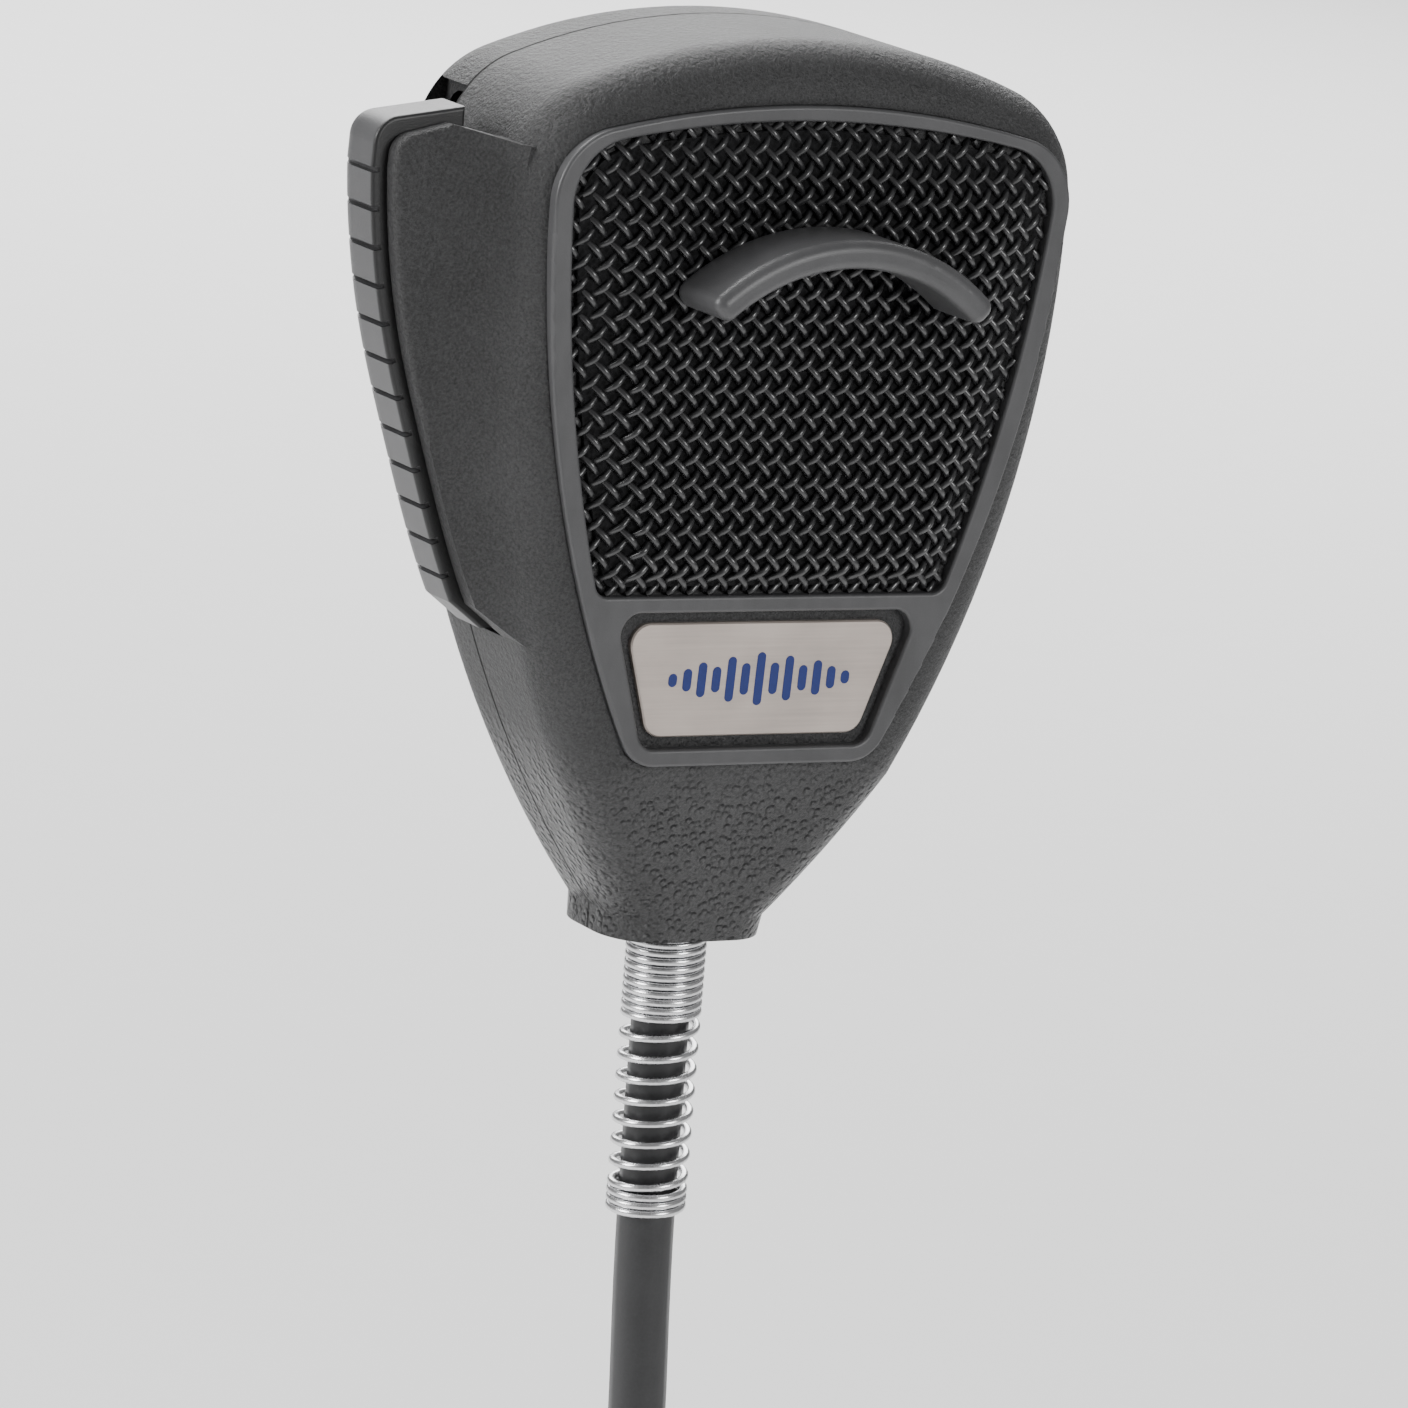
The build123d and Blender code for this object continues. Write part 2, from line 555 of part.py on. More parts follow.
def ptt_return_spring():
    """A torsion spring round the pin: a coil, one leg to the lever, one to the floor."""
    wire, radius, turns, pitch = 0.25, 1.6, 3.25, 0.56
    helix = Helix(pitch, turns * pitch, radius)
    floor_leg = Line(helix @ 0 - (helix % 0) * 5.0, helix @ 0)
    lever_leg = Line(helix @ 1, helix @ 1 + (helix % 1) * 2.6)
    path = Wire([floor_leg.edge(), helix.edge(), lever_leg.edge()])
    spring = sweep(Plane(origin=path @ 0, z_dir=path % 0) * Circle(wire), path=path)
    return Pos(HINGE_X, LEVER_BACK_Y - 0.1, HINGE_Z) * Rot(90, 0, 0) * spring


# --- Switch ------------------------------------------------------------------------
def switch_screw_places():
    foot = SWITCH_FOOT
    return [(SWITCH_LEFT + 5.0, foot + 1.9), (SWITCH_LEFT + 2.0, foot + SWITCH_SIZE[2] - 1.9)]


def switch_box(inset, y_front, y_back):
    x1 = SWITCH_LEFT + SWITCH_SIZE[0]
    z1 = SWITCH_FOOT + SWITCH_SIZE[2]
    return block(SWITCH_LEFT + inset, x1 - inset, y_front, y_back, SWITCH_FOOT + inset, z1 - inset)


def switch_case():
    half = SWITCH_SIZE[1] / 2
    case = switch_box(0, -half, half - 0.8)
    case -= block(SWITCH_LEFT + SWITCH_WALL, SWITCH_LEFT + SWITCH_SIZE[0] - SWITCH_WALL, -half + SWITCH_WALL,
                  half, SWITCH_FOOT + 4.0, SWITCH_FOOT + SWITCH_SIZE[2] - 4.0)
    case -= Pos(SWITCH_LEFT, 0, PLUNGER_Z) * Rot(0, 90, 0) * Cylinder(PLUNGER_RADIUS + 0.08, 3 * SWITCH_WALL)
    for x, z in switch_screw_places():
        case -= rod(x, z, SWITCH_SCREW_RADIUS + HOLE_CLEARANCE, -BIG, BIG)
    for z in switch_terminal_heights():
        case -= block(SWITCH_LEFT + 4, BIG, -0.9, 0.9, z - 0.3, z + 0.3)
    return case


def switch_terminal_heights():
    return [PLUNGER_Z - 1.9, PLUNGER_Z + 0.1, PLUNGER_Z + 2.1]


def switch_cover():
    half = SWITCH_SIZE[1] / 2
    cover = switch_box(0, half - 0.8, half)
    for x, z in switch_screw_places():
        cover -= rod(x, z, SWITCH_SCREW_RADIUS + HOLE_CLEARANCE, -BIG, BIG)
    return cover


def switch_plunger():
    """A round button with a flange inside the case that keeps it in."""
    stem = Pos(SWITCH_LEFT - PLUNGER_REACH / 2 + 0.6, 0, PLUNGER_Z) * Rot(0, 90, 0) * Cylinder(
        PLUNGER_RADIUS, PLUNGER_REACH + 1.2)
    flange = Pos(SWITCH_LEFT + SWITCH_WALL + 0.35, 0, PLUNGER_Z) * Rot(0, 90, 0) * Cylinder(
        PLUNGER_RADIUS + 0.6, 0.6)
    return stem + flange


def switch_blade():
    """The springy moving contact behind the plunger."""
    x = SWITCH_LEFT + 3.3
    blade = block(x, x + 0.2, -1.4, 1.4, PLUNGER_Z - 2.0, PLUNGER_Z + 2.6)
    return blade + Pos(x + 0.35, 0, PLUNGER_Z + 1.1) * Rot(0, 90, 0) * Cylinder(0.6, 0.4)


def switch_terminals():
    x0 = SWITCH_LEFT + 4.6
    return [block(x0, SWITCH_LEFT + SWITCH_SIZE[0] + 2.6, -0.8, 0.8, z - 0.2, z + 0.2)
            for z in switch_terminal_heights()]


def small_screw(radius, length, head_y):
    """A pan-head screw along -Y with its head's seat at head_y."""
    shank = rod(0, 0, radius, head_y - length, head_y)
    head = rod(0, 0, 1.9 * radius, head_y, head_y + 1.1 * radius)
    head = fillet(head.edges().sort_by(Axis.Y)[-1], 0.35 * radius)
    half = 0.2 * radius
    slot = block(-2 * radius, 2 * radius, head_y + 0.6 * radius, head_y + 2 * radius, -half, half)
    return shank + head - slot


def switch_screws():
    half = SWITCH_SIZE[1] / 2
    screw = small_screw(SWITCH_SCREW_RADIUS, SWITCH_SIZE[1] + 4.0, half + 0.02)
    return [Pos(x, 0, z) * screw for x, z in switch_screw_places()]


# --- Cartridge ---------------------------------------------------------------------
def cartridge_front_y():
    return INNER_FRONT_Y + 0.1 + BOOT_WALL


def cartridge_back_y():
    return cartridge_front_y() + CARTRIDGE_DEPTH


def ring_at_cartridge(outer, inner, y_front, y_back):
    return rod(0, CARTRIDGE_Z, outer, y_front, y_back) - rod(0, CARTRIDGE_Z, inner, y_front - 1, y_back + 1)


def cartridge_boot():
    front, back = INNER_FRONT_Y + 0.1, cartridge_back_y() + BOOT_WALL
    boot = ring_at_cartridge(CARTRIDGE_RADIUS + BOOT_WALL, CARTRIDGE_RADIUS - 2.0, front, back)
    front, back = cartridge_front_y() - 0.03, cartridge_back_y() + 0.03
    return boot - rod(0, CARTRIDGE_Z, CARTRIDGE_RADIUS + 0.03, front, back)


def cartridge_case():
    front, back = cartridge_front_y(), cartridge_back_y()
    case = rod(0, CARTRIDGE_Z, CARTRIDGE_RADIUS, front + 1.2, back)
    return case - rod(0, CARTRIDGE_Z, CARTRIDGE_RADIUS - 0.8, front, back - 1.2)


def cartridge_cap():
    """The perforated cap over the diaphragm."""
    front = cartridge_front_y()
    cap = rod(0, CARTRIDGE_Z, CARTRIDGE_RADIUS, front, front + 1.15)
    cap -= rod(0, CARTRIDGE_Z, CARTRIDGE_RADIUS - 1.4, front + 0.7, front + 2)
    for reach, count in ((0.0, 1), (4.2, 6), (8.4, 12)):
        for index in range(count):
            turn = 2 * math.pi * index / count
            x, z = reach * math.cos(turn), CARTRIDGE_Z + reach * math.sin(turn)
            cap -= rod(x, z, 1.0, front - 1, front + 2)
    return cap


def diaphragm():
    front = cartridge_front_y() + 1.3
    film = rod(0, CARTRIDGE_Z, CARTRIDGE_RADIUS - 0.9, front, front + 0.2)
    return film + rod(0, CARTRIDGE_Z, COIL_RADIUS - 0.2, front + 0.2, front + 0.5)


def voice_coil():
    front = cartridge_front_y() + 2.0
    return ring_at_cartridge(COIL_RADIUS, COIL_RADIUS - 0.5, front, front + 3.2)


def magnet():
    back = cartridge_back_y() - 1.25
    return rod(0, CARTRIDGE_Z, MAGNET_RADIUS, back - MAGNET_DEPTH, back)


def pole_plate():
    front = cartridge_back_y() - 1.25 - MAGNET_DEPTH - 1.7
    return rod(0, CARTRIDGE_Z, MAGNET_RADIUS, front, front + 1.65)


# --- Board, wires and fasteners ----------------------------------------------------
def board_screw_places():
    return [(side * (BOARD_SIZE[0] / 2 - 2.2), BOARD_Z) for side in (-1, 1)]


def terminal_board():
    half = BOARD_SIZE[0] / 2
    board = block(-half, half, BOARD_Y - BOARD_SIZE[1] / 2, BOARD_Y + BOARD_SIZE[1] / 2,
                  BOARD_Z - BOARD_SIZE[2] / 2, BOARD_Z + BOARD_SIZE[2] / 2)
    for x, z in board_screw_places():
        board -= rod(x, z, SWITCH_SCREW_RADIUS + HOLE_CLEARANCE, -BIG, BIG)
    for x in board_lug_places():
        board -= rod(x, BOARD_Z, 0.62, -BIG, BIG)
    return board


def board_lug_places():
    return [-3.6, -1.2, 1.2, 3.6]


def terminal_lugs():
    """Four turret posts that the cord's conductors are soldered to."""
    back = BOARD_Y + BOARD_SIZE[1] / 2
    return [rod(x, BOARD_Z, 0.6, BOARD_Y - 1.4, back + 2.2) + rod(x, BOARD_Z, 0.95, back + 0.02, back + 0.5)
            for x in board_lug_places()]


def board_screws():
    screw = small_screw(SWITCH_SCREW_RADIUS, BOARD_SIZE[1] + 3.0, BOARD_Y + BOARD_SIZE[1] / 2 + 0.02)
    return [Pos(x, 0, z) * screw for x, z in board_screw_places()]


def conductors():
    """Four insulated wires from the end of the cord to the board's posts."""
    wires = []
    start_z, lug_y = LEAD_ROUTE[0][2] + 0.05, BOARD_Y + BOARD_SIZE[1] / 2 + 1.3
    for index, x in enumerate(board_lug_places()):
        start = (0.42 * x, 0.6, start_z)
        points = [start, (0.42 * x, 0.6, start_z + 3), (x, 1.4, BOARD_Z - 7), (x, lug_y, BOARD_Z - 1.1)]
        path = FilletPolyline(*points, radius=1.6)
        wires.append(sweep(Plane(origin=path @ 0, z_dir=path % 0) * Circle(0.55), path=path))
    return wires


def screw_seat_y(height):
    """Where the head of a case screw bears, inside its counterbore."""
    return back_y(height) - SCREW_HEAD_HEIGHT - 0.9


def housing_screws():
    screws = []
    for x, z in SCREW_PLACES:
        seat = screw_seat_y(z)
        length = min(SCREW_LENGTH, seat - INNER_FRONT_Y - 0.9)
        shank = rod(x, z, SCREW_RADIUS, seat - length, seat)
        head = rod(x, z, SCREW_HEAD_RADIUS, seat, seat + SCREW_HEAD_HEIGHT)
        head = fillet(head.edges().sort_by(Axis.Y)[-1], 0.7)
        top = seat + SCREW_HEAD_HEIGHT
        cross = block(x - 1.5, x + 1.5, top - 1.0, top + 1, z - 0.32, z + 0.32)
        cross += block(x - 0.32, x + 0.32, top - 1.0, top + 1, z - 1.5, z + 1.5)
        screws.append(shank + head - cross)
    return screws


# --- Hanger button -----------------------------------------------------------------
def nut_outline(gap=0.0):
    return RegularPolygon(NUT_FLATS / 2 + gap, 6, major_radius=False)


def nut_back_y():
    return back_y(HANGER_Z) - WALL


def hanger_button():
    root = HANGER_PAD_Y
    button = rod(0, HANGER_Z, HANGER_NECK_RADIUS, root, root + HANGER_NECK)
    head = rod(0, HANGER_Z, HANGER_HEAD_RADIUS, root + HANGER_NECK, root + HANGER_NECK + HANGER_HEAD)
    head = fillet(head.edges(), 0.7)
    button += head
    top = root + HANGER_NECK + HANGER_HEAD
    button -= rod(0, HANGER_Z, HANGER_SCREW_RADIUS + HOLE_CLEARANCE, root - 1, top + 1)
    button -= rod(0, HANGER_Z, 2.9, top - 1.7, top + 1)
    return button


def hanger_screw():
    top = HANGER_PAD_Y + HANGER_NECK + HANGER_HEAD
    screw = rod(0, HANGER_Z, HANGER_SCREW_RADIUS, nut_back_y() - NUT_THICK - 0.3, top - 1.6)
    head = rod(0, HANGER_Z, 2.75, top - 1.65, top - 0.25)
    head = fillet(head.edges().sort_by(Axis.Y)[-1], 0.4)
    slot = block(-3, 3, top - 0.9, top + 1, HANGER_Z - 0.35, HANGER_Z + 0.35)
    return screw + head - slot


def hanger_nut():
    nut = slab(Pos(0, HANGER_Z) * nut_outline(), nut_back_y() - NUT_THICK, nut_back_y() - 0.05)
    return nut - rod(0, HANGER_Z, HANGER_SCREW_RADIUS + 0.02, -BIG, BIG)


# --- Strain relief and crimp -------------------------------------------------------
def lean(shape):
    """Tilt what hangs below the neck, as the cord's weight does."""
    return Pos(0, 0, LEAN_Z) * Rot(0, -CORD_LEAN, 0) * Pos(0, 0, -LEAN_Z) * shape


def relief_spring():
    """The strain relief's wire spring, as a sleeve of its outer size and about its mass."""
    sleeve = Cylinder(SPRING_OUTER, SPRING_LENGTH) - Cylinder(SPRING_OUTER - SPRING_WALL, SPRING_LENGTH + 1)
    return lean(Pos(0, 0, SPRING_TOP - SPRING_LENGTH / 2) * sleeve)


def cord_crimp():
    """The crimped collar that stops the cord from pulling out."""
    collar = Cylinder(CRIMP_RADIUS, CRIMP_LENGTH) - Cylinder(CORD_RADIUS + 0.02, CRIMP_LENGTH + 1)
    return Pos(0, 0, CRIMP_TOP - CRIMP_LENGTH / 2) * collar


# --- Cord --------------------------------------------------------------------------
def corner_radii(points):
    """The largest arc each corner takes: 0.45 of the shorter run over tan(half turn)."""
    radii = []
    for before, here, after in zip(points, points[1:], points[2:]):
        into, out = Vector(*here) - Vector(*before), Vector(*after) - Vector(*here)
        half_turn = math.radians(into.get_angle(out)) / 2
        radii.append(0.45 * min(into.length, out.length) / math.tan(half_turn))
    return radii


def tube(label, points, radius):
    """A plain round tube along straight runs joined by arcs."""
    radii = corner_radii(points)
    path = FilletPolyline(*points, radius=radii)
    solid = sweep(Plane(origin=path @ 0, z_dir=path % 0) * Circle(radius), path=path)
    ratio = solid.volume / (math.pi * radius**2 * path.length)
    bends = [round(r, 1) for r in radii]
    print(f"{label}: length {path.length:.1f}, bends {bends}, volume ratio {ratio:.4f}")
    return solid


def cord_tie():
    """A strap round both runs of the curled cord, which keeps the bundle together."""
    left, right = route_x_at(CURL_ROUTE[:6], TIE_Z), route_x_at(CURL_ROUTE[7:], TIE_Z)
    middle, reach = (left + right) / 2, (right - left) / 2
    inner_radius = CURL_RADIUS + TIE_GAP

    def loop(radius):
        return SlotCenterToCenter(2 * reach, 2 * radius)

    strap = extrude(loop(inner_radius + TIE_THICK) - loop(inner_radius), amount=TIE_HEIGHT / 2, both=True)
    buckle = Pos(0, -inner_radius - TIE_THICK - 0.9, 0) * Box(7.0, 2.0, TIE_HEIGHT + 2.0)
    return Pos(middle, 0, TIE_Z) * (strap + buckle)


def route_x_at(points, height):
    """X of a route's run at a height."""
    for (x0, _, z0), (x1, _, z1) in zip(points, points[1:]):
        if min(z0, z1) <= height <= max(z0, z1):
            return x0 + (x1 - x0) * (height - z0) / (z1 - z0)
    raise ValueError("the route does not pass that height")


# --- Plug, drawn with its cord entry at Z = 0 and pointing down --------------------
def place_plug(shape):
    x, y, z = TAIL_ROUTE[-1]
    return Pos(x, y, z) * shape


def down(radius, z_top, z_bottom):
    return Pos(0, 0, (z_top + z_bottom) / 2) * Cylinder(radius, z_top - z_bottom)


def plug_shell():
    """The metal body, necked where the cord enters."""
    shell = down(PLUG_SHELL_RADIUS, -4, -PLUG_SHELL_LENGTH) + down(PLUG_NECK + 1.4, 0, -4)
    rims = shell.edges().filter_by(GeomType.CIRCLE).filter_by(lambda e: e.center().Z > -4.5)
    shell = fillet(rims, 0.6)
    shell -= down(PLUG_BORE, -6, -BIG)
    shell -= down(CORD_RADIUS + 0.3, 1, -7)
    for side in (-1, 1):
        shell -= Pos(side * 3.6, 0, -10) * Rot(90, 0, 0) * Cylinder(1.1, BIG)
    return place_plug(shell)


def plug_insert():
    """The moulded insert that holds the contacts."""
    top = -PLUG_SHELL_LENGTH + 3.0
    insert = down(PLUG_BORE - 0.03, top, top - INSERT_LENGTH)
    for x, y in contact_places():
        insert -= Pos(x, y, 0) * down(CONTACT_RADIUS + 0.02, top + 1, top - INSERT_LENGTH - 1)
    insert -= Pos(0, -PLUG_BORE, top - INSERT_LENGTH) * Box(1.8, 1.6, 10.0)
    return place_plug(insert)


def contact_places():
    turns = [math.radians(45 + 360 * index / CONTACTS) for index in range(CONTACTS)]
    return [(CONTACT_CIRCLE * math.cos(t), CONTACT_CIRCLE * math.sin(t)) for t in turns]


def plug_contacts():
    """Four socket contacts with solder cups."""
    top = -PLUG_SHELL_LENGTH + 5.5
    contact = down(CONTACT_RADIUS, top, -PLUG_SHELL_LENGTH + 3.2 - INSERT_LENGTH)
    contact -= down(0.5, -PLUG_SHELL_LENGTH - 1.0, -BIG)
    return [place_plug(Pos(x, y, 0) * contact) for x, y in contact_places()]


def coupling_ring():
    """The knurled ring that screws the plug onto its chassis socket."""
    top = -PLUG_SHELL_LENGTH + 3.8
    ring = down(COUPLING_RADIUS, top, top - COUPLING_LENGTH)
    ring = chamfer(ring.edges().filter_by(GeomType.CIRCLE), 0.6)
    ring -= down(PLUG_SHELL_RADIUS + 0.08, top + 1, top - 3.9)
    ring -= down(PLUG_SHELL_RADIUS - 0.6, top - 3.8, -BIG)
    for index in range(COUPLING_KNURLS):
        turn = 360 * index / COUPLING_KNURLS
        ring -= Rot(0, 0, turn) * Pos(COUPLING_RADIUS + 0.25, 0, top - COUPLING_LENGTH / 2) * Cylinder(
            0.5, COUPLING_LENGTH + 1)
    return place_plug(ring)


def plug_clamp():
    """The saddle inside the neck that grips the cord's jacket."""
    saddle = down(PLUG_BORE - 0.4, -6.3, -13) - down(CORD_RADIUS + 0.15, 1, -BIG)
    saddle &= Pos(0, PLUG_BORE / 2 + 1.0, -10) * Box(2 * PLUG_BORE, PLUG_BORE, 10.0)
    return place_plug(saddle)


def main():
    os.makedirs("parts", exist_ok=True)
    front, rear, inner = shells()
    export("front_housing", front_housing(front, inner))
    export("rear_cover", rear_cover(rear))
    export("grille_bezel", grille_bezel())
    export("grille_mesh", grille_mesh())
    export("grille_foam", grille_foam())
    export("nameplate", nameplate())
    export("lip_guard", lip_guard())
    export("ptt_lever", ptt_lever())
    export("ptt_pivot_pin", ptt_pivot_pin())
    export("ptt_return_spring", ptt_return_spring())
    export("switch_case", switch_case())
    export("switch_cover", switch_cover())
    export("switch_plunger", switch_plunger())
    export("switch_blade", switch_blade())
    export("switch_terminals", *switch_terminals())
    export("switch_screws", *switch_screws())
    export("cartridge_boot", cartridge_boot())
    export("cartridge_case", cartridge_case())
    export("cartridge_cap", cartridge_cap())
    export("diaphragm", diaphragm())
    export("voice_coil", voice_coil())
    export("magnet", magnet())
    export("pole_plate", pole_plate())
    export("terminal_board", terminal_board())
    export("terminal_lugs", *terminal_lugs())
    export("board_screws", *board_screws())
    export("conductors", *conductors())
    export("housing_screws", *housing_screws())
    export("hanger_button", hanger_button())
    export("hanger_screw", hanger_screw())
    export("hanger_nut", hanger_nut())
    export("relief_spring", relief_spring())
    export("cord_crimp", cord_crimp())
    export("cord_lead", tube("cord_lead", LEAD_ROUTE, CORD_RADIUS))
    export("cord_curl", tube("cord_curl", CURL_ROUTE, CURL_RADIUS))
    export("cord_tail", tube("cord_tail", TAIL_ROUTE, CORD_RADIUS))
    export("cord_tie", cord_tie())
    export("plug_shell", plug_shell())
    export("plug_insert", plug_insert())
    export("plug_contacts", *plug_contacts())
    export("coupling_ring", coupling_ring())
    export("plug_clamp", plug_clamp())


main()
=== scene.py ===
"""A hand-held radio microphone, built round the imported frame.

Adds the woven grille, the strain relief spring, the curly cord with its strap,
the printed symbol and the finishes.
"""

import math

import bpy
from mathutils import Matrix, Vector
from mathutils.bvhtree import BVHTree


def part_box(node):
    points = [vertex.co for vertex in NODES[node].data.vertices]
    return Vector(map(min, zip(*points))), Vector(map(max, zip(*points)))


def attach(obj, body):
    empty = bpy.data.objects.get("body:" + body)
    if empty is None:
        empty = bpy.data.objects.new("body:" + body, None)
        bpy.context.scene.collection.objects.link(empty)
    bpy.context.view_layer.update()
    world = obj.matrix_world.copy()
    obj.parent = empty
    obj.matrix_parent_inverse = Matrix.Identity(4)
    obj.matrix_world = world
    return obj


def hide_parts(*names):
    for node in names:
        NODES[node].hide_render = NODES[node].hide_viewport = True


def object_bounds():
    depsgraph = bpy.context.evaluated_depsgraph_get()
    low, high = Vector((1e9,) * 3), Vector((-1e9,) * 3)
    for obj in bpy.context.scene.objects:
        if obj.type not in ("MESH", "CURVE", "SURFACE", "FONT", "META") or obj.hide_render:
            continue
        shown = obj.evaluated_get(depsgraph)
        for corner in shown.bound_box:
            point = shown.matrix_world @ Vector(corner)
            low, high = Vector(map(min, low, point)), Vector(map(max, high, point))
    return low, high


bl_info = {
    "name": "Hand Microphone Dresser",
    "version": (1, 0, 0),
    "blender": (4, 5, 0),
    "location": "View3D > Sidebar > Microphone",
    "description": "Adds the woven grille, spring, cord and finishes to a hand microphone",
    "category": "Add Mesh",
}

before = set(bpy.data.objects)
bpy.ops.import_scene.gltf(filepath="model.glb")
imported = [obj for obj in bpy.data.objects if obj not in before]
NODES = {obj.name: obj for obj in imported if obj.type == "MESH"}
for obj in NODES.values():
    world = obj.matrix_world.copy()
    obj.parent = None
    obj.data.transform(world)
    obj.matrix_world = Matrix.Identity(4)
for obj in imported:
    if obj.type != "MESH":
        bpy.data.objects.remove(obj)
CAD_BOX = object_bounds()

MM = 0.001
# The body's foot on the cord axis, where the microphone's own height is zero.
FOOT = Vector((0.0, -0.0135, -0.050))
# The order of the cord's smooth line: each stretch follows three of its points.
CORD_ORDER = 3
# How far the parting plane runs back for each metre that it rises from the foot.
SEAM_SLOPE = 0.08

# The cord's route in metres, from inside the neck to the plug's entry.
LEAD_ROUTE = (
    (0.0, -0.0135, -0.032), (0.0, -0.0135, -0.045), (0.00075, -0.0135, -0.063),
    (0.0017, -0.0135, -0.082), (0.0039, -0.0129, -0.101), (0.0046, -0.0131, -0.122),
)
CURL_ROUTE = (
    (0.0046, -0.0131, -0.122), (0.0049, -0.0135, -0.150), (0.0015, -0.0145, -0.183),
    (-0.006, -0.0155, -0.220), (-0.010, -0.0145, -0.257), (-0.005, -0.0125, -0.292),
    (0.015, -0.0105, -0.316), (0.042, -0.0095, -0.308), (0.053, -0.0105, -0.280),
    (0.049, -0.0125, -0.243), (0.037, -0.0135, -0.210), (0.031, -0.0125, -0.185),
)
TAIL_ROUTE = (
    (0.031, -0.0125, -0.185), (0.027, -0.0115, -0.163), (0.037, -0.0085, -0.140),
    (0.062, -0.0045, -0.133), (0.083, -0.0015, -0.149), (0.088, -0.0015, -0.176),
    (0.0885, -0.0025, -0.200),
)


# --- Places ------------------------------------------------------------------
def on_body(x, y, z):
    """A point given in millimetres from the body's foot, as a place in metres."""
    return FOOT + Vector((x, y, z)) * MM


def leaned(point, degrees, pivot):
    """A point swung about the depth axis through the pivot, as the cord's weight swings it."""
    return pivot + Matrix.Rotation(math.radians(-degrees), 3, "Y") @ (point - pivot)


def sizes():
    return bpy.context.scene.microphone_sizes


def colours():
    return bpy.context.scene.microphone_colours


# --- Shape helpers -----------------------------------------------------------
def deselect_all():
    bpy.ops.object.select_all(action="DESELECT")


def select_only(piece):
    deselect_all()
    piece.select_set(True)
    bpy.context.view_layer.objects.active = piece


def settle(piece):
    """Leaves a finished piece at the origin, unturned and unscaled, with its place in its mesh."""
    select_only(piece)
    bpy.ops.object.transform_apply(location=True, rotation=True, scale=True)
    deselect_all()
    return piece


def wire(name, runs, radius, sides_step):
    """A mesh of round wire along each run of points, with closed ends."""
    curve = bpy.data.curves.new(name, "CURVE")
    curve.dimensions = "3D"
    curve.bevel_depth = radius
    curve.bevel_resolution = sides_step
    curve.use_fill_caps = True
    for run in runs:
        line = curve.splines.new("POLY")
        line.points.add(len(run) - 1)
        for point, place in zip(line.points, run):
            point.co = (*place, 1.0)
    piece = bpy.data.objects.new(name, curve)
    bpy.context.scene.collection.objects.link(piece)
    select_only(piece)
    bpy.ops.object.convert(target="MESH")
    piece = bpy.context.active_object
    bpy.ops.object.shade_smooth()
    deselect_all()
    return piece


def smooth_line(points, name):
    """A smooth open curve whose control points are the route's."""
    curve = bpy.data.curves.new(name, "CURVE")
    curve.dimensions = "3D"
    line = curve.splines.new("NURBS")
    line.points.add(len(points) - 1)
    for point, place in zip(line.points, points):
        point.co = (*place, 1.0)
    line.order_u = CORD_ORDER
    line.use_endpoint_u = True
    piece = bpy.data.objects.new(name, curve)
    bpy.context.scene.collection.objects.link(piece)
    return piece


def read_line(points, resolution=24):
    """The points that a smooth line through the route's control points passes."""
    piece = smooth_line(points, "route_reading")
    piece.data.splines[0].resolution_u = resolution
    mesh = bpy.data.meshes.new_from_object(piece)
    places = [vertex.co.copy() for vertex in mesh.vertices]
    bpy.data.objects.remove(piece)
    bpy.data.meshes.remove(mesh)
    return places


def wound(places, radius, pitch, steps, ramp):
    """Points of a helix wound round a line.

    Its radius grows and fades over the ramp's turns, and it turns slowly where it is small.
    """
    lengths = [0.0]
    for start, end in zip(places, places[1:]):
        lengths.append(lengths[-1] + (end - start).length)
    turns = round(lengths[-1] / pitch)
    count = turns * steps
    points = []
    side = None
    segment = 0
    angle = 0.0
    for index in range(count + 1):
        reach = lengths[-1] * index / count
        while segment < len(places) - 2 and lengths[segment + 1] < reach:
            segment += 1
        along = places[segment + 1] - places[segment]
        part = (reach - lengths[segment]) / (lengths[segment + 1] - lengths[segment])
        middle = places[segment] + along * min(part, 1.0)
        along.normalize()
        if side is None:
            side = along.orthogonal().normalized()
        side = (side - along * side.dot(along)).normalized()
        other = along.cross(side)
        turn = index / steps
        ease = min(1.0, turn / ramp, (turns - turn) / ramp)
        share = ease * ease * (3.0 - 2.0 * ease)
        points.append(middle + (side * math.cos(angle) + other * math.sin(angle)) * radius * share)
        angle += math.tau * share / steps
    return points


# --- Finishes ----------------------------------------------------------------
class Flow:
    """A value or colour on its way through a finish's nodes, so that plain sums add Math nodes."""

    def __init__(self, finish, socket):
        self.finish = finish
        self.socket = socket

    def __add__(self, other):
        return self.finish.sum("ADD", self, other)

    def __sub__(self, other):
        return self.finish.sum("SUBTRACT", self, other)

    def __rsub__(self, other):
        return self.finish.sum("SUBTRACT", other, self)

    def __mul__(self, other):
        return self.finish.sum("MULTIPLY", self, other)

    __radd__ = __add__
    __rmul__ = __mul__


